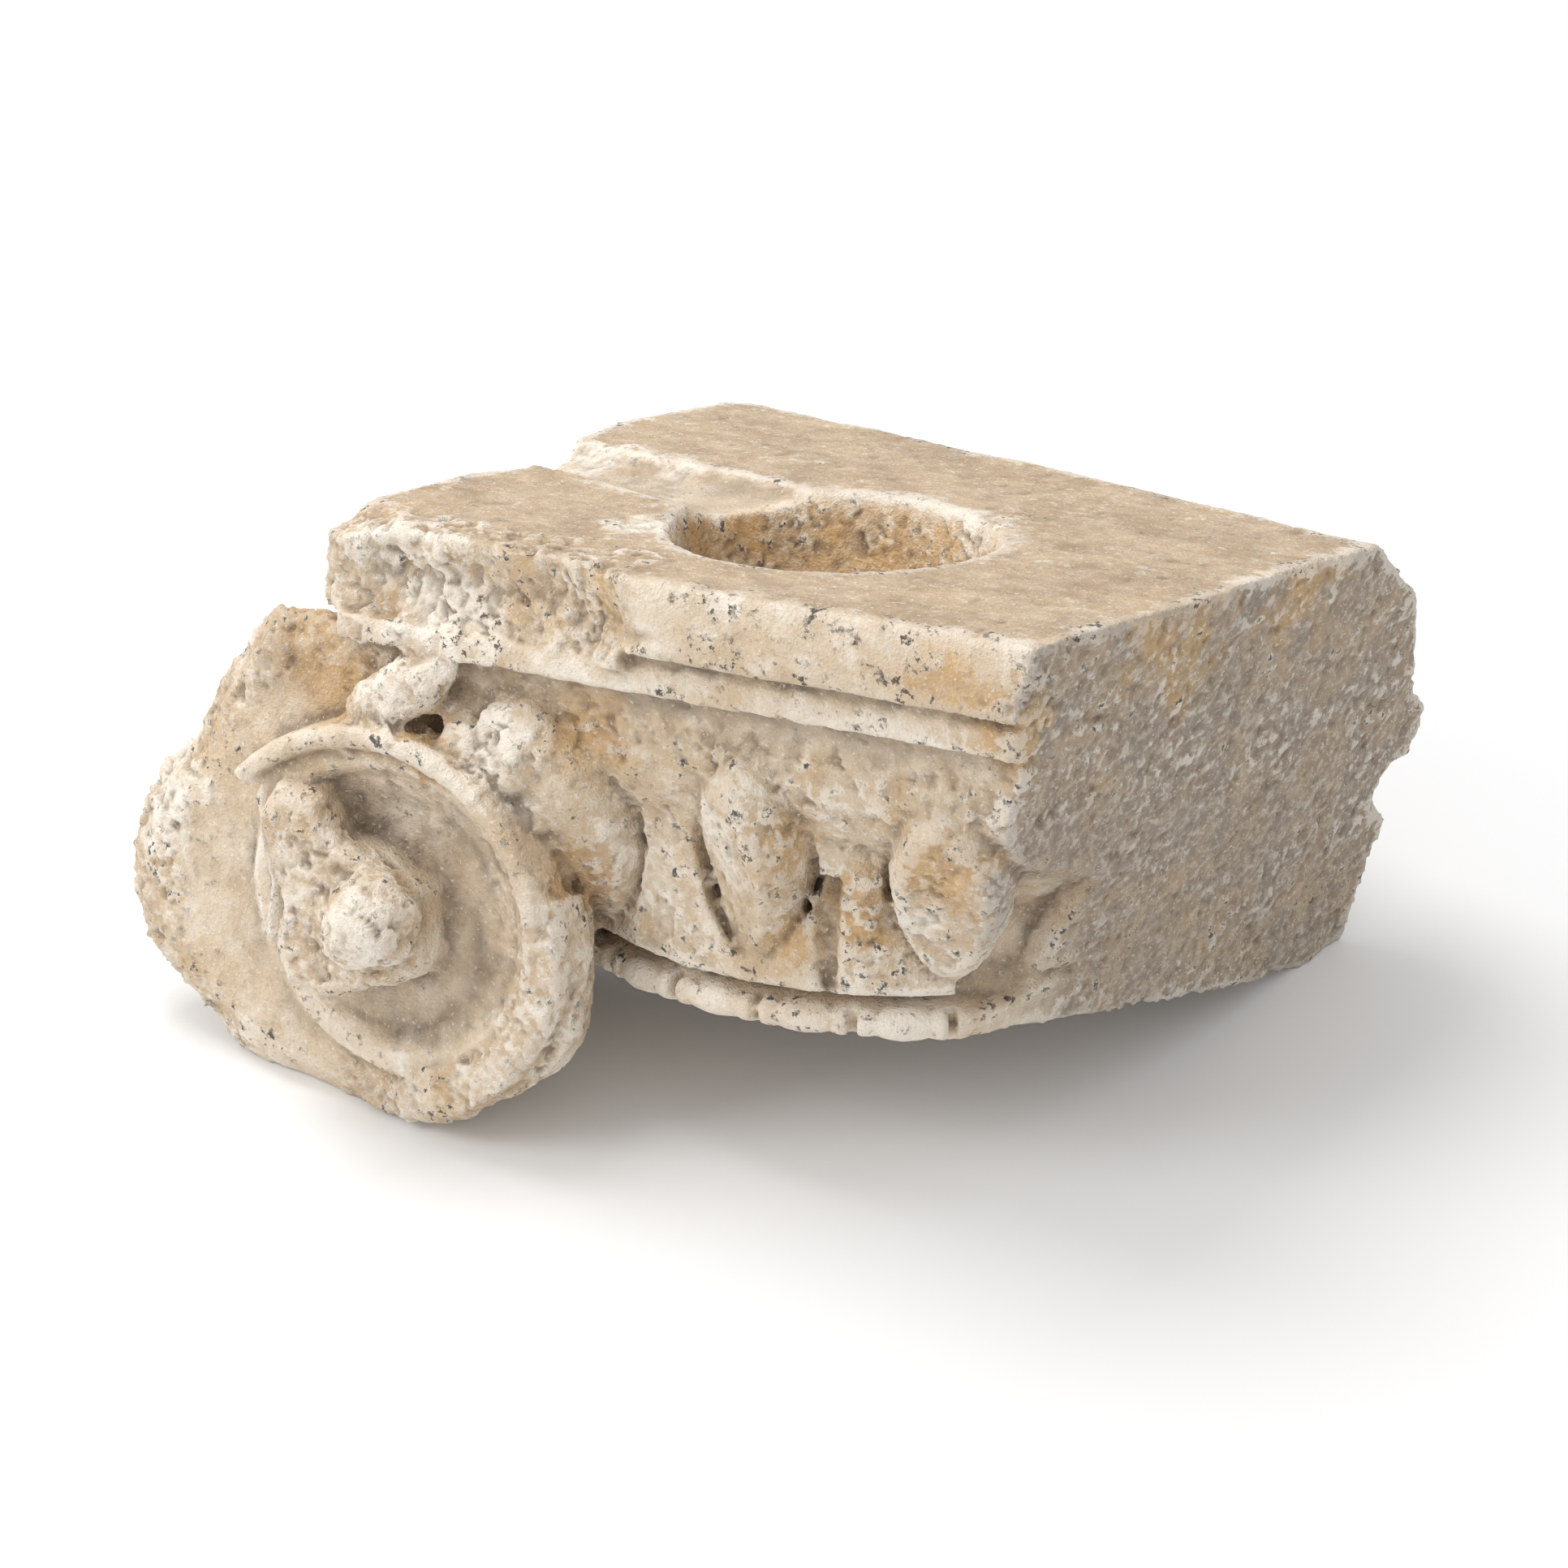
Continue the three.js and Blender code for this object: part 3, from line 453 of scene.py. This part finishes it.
    def _hidden_breaks(
        self, places: np.ndarray, normals: np.ndarray
    ) -> tuple[np.ndarray, np.ndarray]:
        """Finds the broken rear and underside.

        Args:
            places: Corners in the carving frame.
            normals: Their normals.

        Returns:
            A mask from 0 to 1 for each of the two.
        """
        depth = places[:, 1]
        rear = rising(normals[:, 1], 0.3, 0.3) * rising(depth, self.marks.rear, 30)
        under = rising(-normals[:, 2], 0.4, 0.3) * rising(depth, self.marks.under, 40)
        return rear, under

    def _inner(self, places: np.ndarray) -> np.ndarray:
        """Returns the mask of the round hollow's wall and floor."""
        marks = self.marks
        x, y, z = places.T
        from_middle = np.hypot(x - marks.hollow[0], y - marks.hollow[1])
        inner = falling(from_middle, marks.hollow_reach, 4) * falling(z, marks.hollow_lip, 5)
        return inner * rising(z, marks.hollow_floor, 10)

    def _broken(self, places: np.ndarray, cut: np.ndarray) -> np.ndarray:
        """Finds the broken faces of the carved front.

        Args:
            places: Corners in the carving frame.
            cut: Mask of the rough cut, which is left out.

        Returns:
            A mask from 0 to 1.
        """
        marks = self.marks
        x, y, z = places.T
        scooped = falling(x, marks.scoop_right, 20) * falling(y, -168, 12)
        scooped *= rising(z, marks.scoop_low, 3)
        from_eye = np.hypot(x - marks.eye[0], z - marks.eye[1])
        direction = np.degrees(np.arctan2(z - marks.eye[1], x - marks.eye[0])) % 360
        rim = rising(from_eye, marks.rim_reach, 10) * falling(y, -60, 20)
        rim *= falling(x, -185, 20) * falling(z, 150, 6)
        foot = rising(from_eye, marks.foot_reach, 5) * rising(direction, marks.foot_angle, 12)
        foot *= falling(y, -150, 20) * falling(x, -60, 15)
        from_boss = np.hypot(x - marks.boss[0], z - marks.boss[1])
        boss = falling(y, -212, 5) * falling(from_boss, marks.boss_reach, 8)
        shells = falling(z, marks.shells_high, 10) * rising(z, marks.shells_low, 8)
        shells *= rising(x, marks.shells_left, 20) * falling(y, -120, 10) * (1 - cut)
        return np.maximum.reduce([scooped, rim, 0.7 * foot, 0.8 * boss, 0.5 * shells])

    def _masks(self, places: np.ndarray, normals: np.ndarray) -> dict[Surface, np.ndarray]:
        """Tells the kinds of surface apart.

        Args:
            places: Corners in the carving frame.
            normals: Their normals.

        Returns:
            A mask from 0 to 1 for each kind but the arrises.
        """
        cut = self._cut(places, normals)
        rear, under = self._hidden_breaks(places, normals)
        inner = self._inner(places)
        masks = {
            Surface.BROKEN: self._broken(places, cut),
            Surface.BED: rising(normals[:, 2], 0.72, 0.2) * rising(places[:, 2], self.marks.bed_low, 8),
            Surface.CUT: np.maximum.reduce([cut, rear, under]) * (1 - inner),
            Surface.HOLLOW: inner,
            Surface.FRESH: np.zeros(len(places)),
            Surface.OCHRE: np.zeros(len(places)),
            Surface.CAVITY: np.zeros(len(places)),
        }
        ragged = Grain(5).layered(places, 16.0, 3)
        for spot in self.spots:
            gap = np.linalg.norm(places - np.array(spot.centre), axis=1) / spot.reach
            soft = np.clip(1.25 - gap + 0.45 * ragged, 0, 1) * spot.weight
            masks[spot.surface] = np.maximum(masks[spot.surface], soft)
        return masks

    def _weather(self, stone: bpy.types.Object, origin: np.ndarray) -> None:
        """Moves the corners along their normals: worn skin, breaks and pick marks."""
        relief = self.relief
        places, normals = self._places(stone, origin)
        masks = self._masks(places, normals)
        worn = Grain(1).layered(places, relief.worn_size, 5)
        wander = [Grain(20 + axis).at(places, relief.warp_size) for axis in range(3)]
        warped = places + relief.warp_height * np.stack(wander, axis=1)
        chips = Grain(2).facets(warped, relief.chip_size)
        flakes = Grain(3).facets(warped, relief.chip_size * relief.flake_share)
        picked = Grain(4).layered(places, relief.pick_size, 3)
        deep = np.clip(-picked - 0.2, 0, 1)
        rough = np.clip(np.maximum(0.8 * masks[Surface.FRESH], masks[Surface.BROKEN]), 0, 1)
        dressed = masks[Surface.CUT]
        patchy = np.clip(Grain(6).layered(places, 40.0, 3) + 0.25, 0, 1)
        move = relief.worn_height * worn
        move += relief.chip_height * rough * (0.62 * chips + 0.38 * flakes)
        move += relief.pick_height * dressed * (0.35 * chips + 0.35 * flakes + 0.5 * picked - deep)
        move += 0.7 * relief.pick_height * masks[Surface.HOLLOW] * (flakes - deep)
        move -= relief.bed_wear * masks[Surface.BED] * np.clip(picked - 0.3, 0, 1)
        move += relief.flake_height * flakes * (1 - rough) * patchy
        moved = places + normals * move[:, None]
        ground = (moved @ self.lie.turn().T + origin) * MILLIMETRE
        ground[:, 2] = np.maximum(ground[:, 2], 0.0)
        stone.data.vertices.foreach_set("co", ground.astype(np.float32).ravel())
        stone.data.update()

    def _edges(
        self, mesh: bpy.types.Mesh, places: np.ndarray, normals: np.ndarray
    ) -> tuple[np.ndarray, np.ndarray]:
        """Measures how far the corners stand out of the stone around them.

        Args:
            mesh: The stone's mesh.
            places: Its corners in the carving frame.
            normals: Their normals.

        Returns:
            The fine and the broad measure in millimetres, below zero in a hollow.
        """
        edges = np.empty(len(mesh.edges) * 2, dtype=np.int64)
        mesh.edges.foreach_get("vertices", edges)
        edges = edges.reshape(-1, 2)
        count = np.bincount(edges.ravel(), minlength=len(places)).astype(float)
        count = np.maximum(count, 1)[:, None]
        eased = places.copy()
        near = np.zeros(len(places))
        for done in range(1, self.relief.far_rounds + 1):
            total = np.zeros_like(eased)
            np.add.at(total, edges[:, 0], eased[edges[:, 1]])
            np.add.at(total, edges[:, 1], eased[edges[:, 0]])
            eased = total / count
            if done == self.relief.near_rounds:
                near = ((places - eased) * normals).sum(axis=1)
        return near, ((places - eased) * normals).sum(axis=1)

    def _paint(self, stone: bpy.types.Object, origin: np.ndarray) -> None:
        """Writes the masks that the marble reads."""
        mesh = stone.data
        places, normals = self._places(stone, origin)
        masks = self._masks(places, normals)
        near, far = self._edges(mesh, places, normals)
        # Painted shade: corners that lie deeper than the stone around them get a darker mask
        hollowed = np.clip(-(near * 0.9 + far * 0.22) - 0.12, 0, 1)
        masks[Surface.CAVITY] = np.maximum(masks[Surface.CAVITY], hollowed)
        masks[Surface.ARRIS] = np.clip(near * 1.1 + far * 0.3 - 0.1, 0, 1)
        for surface, mask in masks.items():
            layer = mesh.attributes.new(surface.value, "FLOAT", "POINT")
            layer.data.foreach_set("value", mask.astype(np.float32))


@dataclass(frozen=True)
class Grains:
    """Patterns that the marble's colours share, each a socket.

    Attributes:
        cloud: Broad soft clouds.
        mottle: Middle mottling.
        patch: Ragged patches.
        speck: Small specks.
        fine: Finest grain.
        crystal: One value for each crystal.
        streak: Long streaks across the bed.
    """

    cloud: bpy.types.NodeSocket
    mottle: bpy.types.NodeSocket
    patch: bpy.types.NodeSocket
    speck: bpy.types.NodeSocket
    fine: bpy.types.NodeSocket
    crystal: bpy.types.NodeSocket
    streak: bpy.types.NodeSocket


@dataclass(frozen=True)
class MarbleFinish:
    """Colours and grain of the weathered marble; colours are linear."""

    pale: Colour = (0.70, 0.605, 0.485, 1)
    cream: Colour = (0.62, 0.49, 0.345, 1)
    tan: Colour = (0.47, 0.345, 0.22, 1)
    brown: Colour = (0.27, 0.185, 0.115, 1)
    ochre: Colour = (0.60, 0.375, 0.15, 1)
    amber: Colour = (0.42, 0.235, 0.085, 1)
    snow: Colour = (0.87, 0.82, 0.74, 1)
    # Grey brown of the cut faces, partly the cut's own colour and partly painted shade
    cut_grey_and_shade: Colour = (0.27, 0.225, 0.185, 1)
    # Dark umber used as painted shade in recesses
    painted_shade: Colour = (0.12, 0.08, 0.05, 1)
    lichen: Colour = (0.045, 0.04, 0.035, 1)
    roughness: float = 0.8
    glint_roughness: float = 0.34
    shine: float = 0.42
    speck_height: float = 1.4
    grain_strength: float = 0.8
    grain_depth: float = 0.0014

    def build(self) -> bpy.types.Material:
        """Makes the marble.

        Returns:
            The material with its nodes.
        """
        material = bpy.data.materials.new("weathered_marble")
        material.use_nodes = True
        board = NodeBoard(material.node_tree)
        grains = self._grains(board)
        ochre_mask = board.ragged(board.mask(Surface.OCHRE), grains.mottle, 0.6)
        base = self._skin(board, grains)
        base = self._broken(board, grains, base)
        base = self._patina(board, grains, base, ochre_mask)
        base = self._bed(board, grains, base)
        base = self._hollow(board, grains, base)
        base = self._cut(board, grains, base, ochre_mask)
        base = self._edges(board, grains, base)
        glint = board.times(board.ramp(grains.crystal, 0.8, 0.95), board.ramp(grains.fine, 0.5, 0.62))
        base = board.blend(board.scaled(glint, 0.45), base, self.snow)

        shader = board.shader()
        board.link(base, shader.inputs["Base Color"])
        rough = board.span(glint, self.roughness, self.glint_roughness)
        board.link(rough, shader.inputs["Roughness"])
        shader.inputs["Specular IOR Level"].default_value = self.shine
        self._bump(board, grains, shader)
        return material

    def _grains(self, board: NodeBoard) -> Grains:
        """Lays out the patterns, in waves per metre.

        Args:
            board: Where the nodes go.

        Returns:
            The patterns.
        """
        place = board.add("ShaderNodeTexCoord").outputs["Object"]
        drawn_out = board.stretched(place, (24.0, 95.0, 95.0), (0.2, 0.1, 0.45))
        return Grains(
            cloud=board.noise(place, 13.0, 6.0, 0.62),
            mottle=board.noise(place, 52.0, 8.0, 0.7),
            patch=board.noise(place, 30.0, 9.0, 0.74),
            speck=board.noise(place, 210.0, 4.0, 0.68),
            fine=board.noise(place, 640.0, 2.0, 0.6),
            crystal=board.cells(place, 640.0),
            streak=board.noise(drawn_out, 1.0, 7.0, 0.68),
        )

    def _skin(self, board: NodeBoard, grains: Grains) -> bpy.types.NodeSocket:
        """Mixes the colour of the worn carved skin."""
        base = board.blend(board.ramp(grains.cloud, 0.38, 0.62), self.cream, self.pale)
        base = board.blend(board.scaled(board.ramp(grains.patch, 0.46, 0.66), 0.75), base, self.tan)
        base = board.blend(board.scaled(board.ramp(grains.mottle, 0.5, 0.7), 0.4), base, self.snow)
        return board.blend(board.scaled(board.ramp(grains.speck, 0.52, 0.74), 0.4), base, self.brown)

    def _broken(
        self, board: NodeBoard, grains: Grains, base: bpy.types.NodeSocket
    ) -> bpy.types.NodeSocket:
        """Lays the colour of old broken faces over the skin.

        Args:
            board: Where the nodes go.
            grains: The shared patterns.
            base: The colour so far.

        Returns:
            The new colour.
        """
        broken = board.ragged(board.mask(Surface.BROKEN), grains.mottle, 0.5)
        tone = board.blend(board.ramp(grains.mottle, 0.4, 0.64), self.tan, self.cream)
        tone = board.blend(board.scaled(board.ramp(grains.speck, 0.48, 0.66), 0.7), tone, self.snow)
        tone = board.blend(board.scaled(board.ramp(grains.patch, 0.5, 0.64), 0.6), tone, self.ochre)
        return board.blend(board.scaled(broken, 0.75), base, tone)

    def _patina(
        self,
        board: NodeBoard,
        grains: Grains,
        base: bpy.types.NodeSocket,
        ochre_mask: bpy.types.NodeSocket,
    ) -> bpy.types.NodeSocket:
        """Lays the warm patina over the stone.

        Args:
            board: Where the nodes go.
            grains: The shared patterns.
            base: The colour so far.
            ochre_mask: Where the patina lies.

        Returns:
            The new colour.
        """
        tone = board.blend(board.ramp(grains.mottle, 0.4, 0.62), self.ochre, self.amber)
        tone = board.blend(board.scaled(board.ramp(grains.speck, 0.5, 0.66), 0.5), tone, self.cream)
        return board.blend(board.scaled(ochre_mask, 0.7), base, tone)

    def _bed(
        self, board: NodeBoard, grains: Grains, base: bpy.types.NodeSocket
    ) -> bpy.types.NodeSocket:
        """Lays the beige of the dressed top bed over the stone.

        Args:
            board: Where the nodes go.
            grains: The shared patterns.
            base: The colour so far.

        Returns:
            The new colour.
        """
        tone = board.blend(board.ramp(grains.streak, 0.26, 0.54), self.cream, self.tan)
        tone = board.blend(board.scaled(board.ramp(grains.patch, 0.42, 0.62), 0.6), tone, self.brown)
        tone = board.blend(board.scaled(board.ramp(grains.mottle, 0.5, 0.7), 0.35), tone, self.cream)
        tone = board.blend(board.scaled(board.ramp(grains.speck, 0.56, 0.7), 0.5), tone, self.snow)
        return board.blend(board.scaled(board.mask(Surface.BED), 0.92), base, tone)

    def _hollow(
        self, board: NodeBoard, grains: Grains, base: bpy.types.NodeSocket
    ) -> bpy.types.NodeSocket:
        """Lays the ochre of the round hollow over the stone.

        Args:
            board: Where the nodes go.
            grains: The shared patterns.
            base: The colour so far.

        Returns:
            The new colour.
        """
        tone = board.blend(board.ramp(grains.mottle, 0.36, 0.64), self.ochre, self.cream)
        tone = board.blend(board.scaled(board.ramp(grains.patch, 0.47, 0.64), 0.4), tone, self.amber)
        return board.blend(board.scaled(board.mask(Surface.HOLLOW), 0.9), base, tone)

    def _cut(
        self,
        board: NodeBoard,
        grains: Grains,
        base: bpy.types.NodeSocket,
        ochre_mask: bpy.types.NodeSocket,
    ) -> bpy.types.NodeSocket:
        """Lays the grey brown of the rough cut faces over the stone, darkened partly as painted shade for
        the shaded cut on the right.

        Args:
            board: Where the nodes go.
            grains: The shared patterns.
            base: The colour so far.
            ochre_mask: Where the patina lies.

        Returns:
            The new colour.
        """
        # The dark grey is partly the rough cut's own colour and partly painted shade
        tone = board.blend(board.ramp(grains.patch, 0.46, 0.7), self.cut_grey_and_shade, self.tan)
        tone = board.blend(board.scaled(board.ramp(grains.mottle, 0.48, 0.68), 0.6), tone, self.brown)
        tone = board.blend(board.scaled(board.ramp(grains.speck, 0.46, 0.66), 0.5), tone, self.pale)
        tone = board.blend(board.scaled(ochre_mask, 0.6), tone, self.ochre)
        return board.blend(board.scaled(board.mask(Surface.CUT), 0.93), base, tone)

    def _edges(
        self, board: NodeBoard, grains: Grains, base: bpy.types.NodeSocket
    ) -> bpy.types.NodeSocket:
        """Adds white bruises, rubbed arrises, painted shade in corners and recesses, and dark lichen.

        Args:
            board: Where the nodes go.
            grains: The shared patterns.
            base: The colour so far.

        Returns:
            The new colour.
        """
        fresh = board.ragged(board.mask(Surface.FRESH), grains.mottle, 0.7)
        snowy = board.blend(board.ramp(grains.speck, 0.42, 0.62), self.snow, self.pale)
        base = board.blend(board.scaled(fresh, 0.7), base, snowy)

        rubbed = board.ragged(board.mask(Surface.ARRIS), grains.speck, 0.6)
        rubbed = board.times(rubbed, board.ramp(grains.cloud, 0.36, 0.56))
        base = board.blend(board.scaled(rubbed, 0.5), base, self.snow)

        uneven = board.span(grains.mottle, 0.35, 1.0, 0.35, 0.6)
        # Painted shade: dark umber laid in recesses and corners, unevenly
        shade_in_recesses = board.times(board.mask(Surface.CAVITY), uneven)
        base = board.blend(board.scaled(shade_in_recesses, 0.85), base, self.painted_shade)

        rim = board.ramp(board.mask(Surface.ARRIS), 0.05, 0.45)
        soot = board.times(board.ramp(grains.speck, 0.55, 0.6), board.ramp(grains.patch, 0.47, 0.56))
        base = board.blend(board.scaled(board.times(soot, rim), 0.9), base, self.lichen)
        dust = board.times(board.ramp(grains.speck, 0.62, 0.66), board.ramp(grains.cloud, 0.48, 0.6))
        return board.blend(board.scaled(dust, 0.55), base, self.lichen)

    def _bump(self, board: NodeBoard, grains: Grains, shader: bpy.types.Node) -> None:
        """Raises the finest grain on the surface.

        Args:
            board: Where the nodes go.
            grains: The shared patterns.
            shader: The surface shader.
        """
        grain = board.add("ShaderNodeMath")
        grain.operation = "MULTIPLY_ADD"
        board.link(grains.speck, grain.inputs[0])
        grain.inputs[1].default_value = self.speck_height
        board.link(grains.fine, grain.inputs[2])
        bump = board.add("ShaderNodeBump")
        bump.inputs["Strength"].default_value = self.grain_strength
        bump.inputs["Distance"].default_value = self.grain_depth
        board.link(grain.outputs[0], bump.inputs["Height"])
        board.link(bump.outputs["Normal"], shader.inputs["Normal"])


@dataclass(frozen=True)
class FloorFinish:
    """Plain pale studio floor."""

    tone: Colour = (0.86, 0.86, 0.86, 1)

    def build(self) -> bpy.types.Material:
        """Makes the floor's paint.

        Returns:
            The material with its nodes.
        """
        material = bpy.data.materials.new("studio_floor")
        material.use_nodes = True
        shader = NodeBoard(material.node_tree).shader()
        shader.inputs["Base Color"].default_value = self.tone
        shader.inputs["Roughness"].default_value = 0.9
        return material


class NodeBoard:
    """Short ways to place and join the nodes of one material."""

    def __init__(self, tree: bpy.types.NodeTree) -> None:
        """Keeps the node tree that the nodes go in."""
        self.tree = tree

    def add(self, kind: str) -> bpy.types.Node:
        """Adds a node of a kind."""
        return self.tree.nodes.new(kind)

    def link(self, start: bpy.types.NodeSocket, end: bpy.types.NodeSocket) -> None:
        """Joins an output to an input."""
        self.tree.links.new(start, end)

    def shader(self) -> bpy.types.Node:
        """Returns the material's surface shader."""
        return next(n for n in self.tree.nodes if n.type == "BSDF_PRINCIPLED")

    def mask(self, surface: Surface) -> bpy.types.NodeSocket:
        """Reads a painted mask."""
        node = self.add("ShaderNodeAttribute")
        node.attribute_name = surface.value
        return node.outputs["Fac"]

    def noise(
        self, place: bpy.types.NodeSocket, scale: float, detail: float, rough: float
    ) -> bpy.types.NodeSocket:
        """Adds cloudy noise.

        Args:
            place: The coordinates.
            scale: Waves per metre.
            detail: Number of finer layers.
            rough: How strong the finer layers are.

        Returns:
            The noise, around a half.
        """
        node = self.add("ShaderNodeTexNoise")
        node.inputs["Scale"].default_value = scale
        node.inputs["Detail"].default_value = detail
        node.inputs["Roughness"].default_value = rough
        self.link(place, node.inputs["Vector"])
        return node.outputs["Fac"]

    def cells(self, place: bpy.types.NodeSocket, scale: float) -> bpy.types.NodeSocket:
        """Adds crystal cells with a random value each."""
        node = self.add("ShaderNodeTexVoronoi")
        node.inputs["Scale"].default_value = scale
        self.link(place, node.inputs["Vector"])
        split = self.add("ShaderNodeSeparateColor")
        self.link(node.outputs["Color"], split.inputs[0])
        return split.outputs[0]

    def stretched(
        self,
        place: bpy.types.NodeSocket,
        scale: Place,
        turn: Place,
    ) -> bpy.types.NodeSocket:
        """Stretches and turns coordinates.

        Args:
            place: The coordinates.
            scale: How much they grow along each axis.
            turn: Their turn about each axis, in radians.

        Returns:
            The new coordinates.
        """
        node = self.add("ShaderNodeMapping")
        node.inputs["Scale"].default_value = scale
        node.inputs["Rotation"].default_value = turn
        self.link(place, node.inputs["Vector"])
        return node.outputs["Vector"]

    def span(
        self, value: bpy.types.NodeSocket, low: float, high: float, start: float = 0, end: float = 1
    ) -> bpy.types.NodeSocket:
        """Maps a value onto a span.

        Args:
            value: The value.
            low: What the start becomes.
            high: What the end becomes.
            start: Lower end of the value.
            end: Upper end of the value.

        Returns:
            The mapped value, kept inside the span.
        """
        node = self.add("ShaderNodeMapRange")
        node.inputs["From Min"].default_value = start
        node.inputs["From Max"].default_value = end
        node.inputs["To Min"].default_value = low
        node.inputs["To Max"].default_value = high
        self.link(value, node.inputs["Value"])
        return node.outputs["Result"]

    def ramp(self, value: bpy.types.NodeSocket, start: float, end: float) -> bpy.types.NodeSocket:
        """Turns a value into a mask that rises from start to end."""
        return self.span(value, 0.0, 1.0, start, end)

    def scaled(self, value: bpy.types.NodeSocket, factor: float) -> bpy.types.NodeSocket:
        """Weakens a mask."""
        node = self.add("ShaderNodeMath")
        node.operation = "MULTIPLY"
        node.inputs[1].default_value = factor
        self.link(value, node.inputs[0])
        return node.outputs[0]

    def times(self, one: bpy.types.NodeSocket, other: bpy.types.NodeSocket) -> bpy.types.NodeSocket:
        """Keeps what two masks share."""
        node = self.add("ShaderNodeMath")
        node.operation = "MULTIPLY"
        self.link(one, node.inputs[0])
        self.link(other, node.inputs[1])
        return node.outputs[0]

    def ragged(
        self, mask: bpy.types.NodeSocket, noise: bpy.types.NodeSocket, amount: float
    ) -> bpy.types.NodeSocket:
        """Breaks up the soft border of a mask with noise.

        Args:
            mask: The mask.
            noise: Noise around a half.
            amount: How far the border wanders.

        Returns:
            The broken mask.
        """
        centred = self.span(noise, -amount * 2, amount * 2)
        node = self.add("ShaderNodeMath")
        node.operation = "MULTIPLY_ADD"
        self.link(mask, node.inputs[0])
        node.inputs[1].default_value = 1.35
        self.link(centred, node.inputs[2])
        return self.times(self.ramp(node.outputs[0], 0.3, 0.85), self.ramp(mask, 0.02, 0.2))

    def blend(
        self,
        mask: bpy.types.NodeSocket,
        below: bpy.types.NodeSocket | Colour,
        above: bpy.types.NodeSocket | Colour,
    ) -> bpy.types.NodeSocket:
        """Lays one colour over another.

        Args:
            mask: Where the upper colour shows.
            below: The lower colour.
            above: The upper colour.

        Returns:
            The mixed colour.
        """
        node = self.add("ShaderNodeMix")
        node.data_type = "RGBA"
        self.link(mask, node.inputs["Factor"])
        for side, socket in ((below, node.inputs[6]), (above, node.inputs[7])):
            if isinstance(side, tuple):
                socket.default_value = side
            else:
                self.link(side, socket)
        return node.outputs[2]


@dataclass(frozen=True)
class Lamp:
    """A soft square lamp.

    Attributes:
        name: The lamp's name.
        place: Where it hangs, in metres.
        size: Length of its side, in metres.
        watts: Its power.
    """

    name: str
    place: Place
    size: float
    watts: float


@dataclass(frozen=True)
class Studio:
    """Camera, lamps, sky and floor round the capital, in metres and degrees."""

    azimuth: float = 28.259
    elevation: float = 34.0
    distance: float = 2.3994
    target: Place = (-0.00653, 0.03885, 0.09041)
    lens: float = 111.8
    sensor: float = 36.0
    lamps: tuple[Lamp, ...] = (
        Lamp("overhead", (-0.7, 0.15, 2.2), 1.2, 25.0),
        Lamp("front", (-1.4, -1.6, 1.6), 1.0, 21.0),
    )
    lamp_target: Place = (0.0, 0.0, 0.12)
    sky_strength: float = 0.82
    floor_size: float = 12.0
    floor_drop: float = 0.0004

    def camera(self) -> bpy.types.Object:
        """Places the camera at the photograph's angle.

        Returns:
            The scene's camera.
        """
        data = bpy.data.cameras.new("studio_camera")
        data.lens = self.lens
        data.sensor_width = self.sensor
        data.clip_end = 50.0
        camera = bpy.data.objects.new("studio_camera", data)
        bpy.context.collection.objects.link(camera)
        turn, rise = math.radians(self.azimuth), math.radians(self.elevation)
        back = Vector((math.sin(turn) * math.cos(rise), -math.cos(turn) * math.cos(rise), math.sin(rise)))
        camera.location = Vector(self.target) + back * self.distance
        camera.rotation_euler = back.to_track_quat("Z", "Y").to_euler()
        bpy.context.scene.camera = camera
        return camera

    def hang(self, lamp: Lamp) -> bpy.types.Object:
        """Hangs a lamp that looks at the stone.

        Args:
            lamp: Which lamp.

        Returns:
            The light.
        """
        data = bpy.data.lights.new(lamp.name, "AREA")
        data.size = lamp.size
        data.energy = lamp.watts
        light = bpy.data.objects.new(lamp.name, data)
        bpy.context.collection.objects.link(light)
        light.location = lamp.place
        aim = Vector(lamp.place) - Vector(self.lamp_target)
        light.rotation_euler = aim.to_track_quat("Z", "Y").to_euler()
        return light

    def sky(self) -> None:
        """Fills the studio with even pale light."""
        world = bpy.data.worlds.new("studio_sky")
        world.use_nodes = True
        light = next(n for n in world.node_tree.nodes if n.type == "BACKGROUND")
        light.inputs["Color"].default_value = (1.0, 1.0, 1.0, 1)
        light.inputs["Strength"].default_value = self.sky_strength
        bpy.context.scene.world = world

    def floor(self) -> bpy.types.Object:
        """Lays the pale floor.

        Returns:
            The floor.
        """
        bpy.ops.object.select_all(action="DESELECT")
        bpy.ops.mesh.primitive_plane_add(size=self.floor_size, location=(0, 0, -self.floor_drop))
        floor = bpy.context.active_object
        floor.name = "studio_floor"
        floor.data.materials.append(FloorFinish().build())
        return floor

    def build(self) -> None:
        """Sets the whole studio up."""
        self.camera()
        self.floor()
        self.sky()
        for lamp in self.lamps:
            self.hang(lamp)
        bpy.context.scene.view_settings.view_transform = "Standard"


def main() -> None:
    """Builds the studio and the capital and reports each piece."""
    logging.basicConfig(level=logging.INFO, format="%(message)s")
    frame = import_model()
    Studio().build()
    LOG.info("studio: camera, two lamps and floor")
    bed = next(m for m in frame["record"]["mounts"] if m["name"] == "top_bed")
    lie = Lie()
    stone = CapitalStone(lie).build(frame["nodes"]["capital"], lie.origin(tuple(bed["pos_m"])))
    stone.data.materials.append(MarbleFinish().build())
    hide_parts("capital")
    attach(stone, "root")
    stone.data.calc_loop_triangles()
    LOG.info("capital_stone: %d triangles", len(stone.data.loop_triangles))


if __name__ == "__main__":
    main()
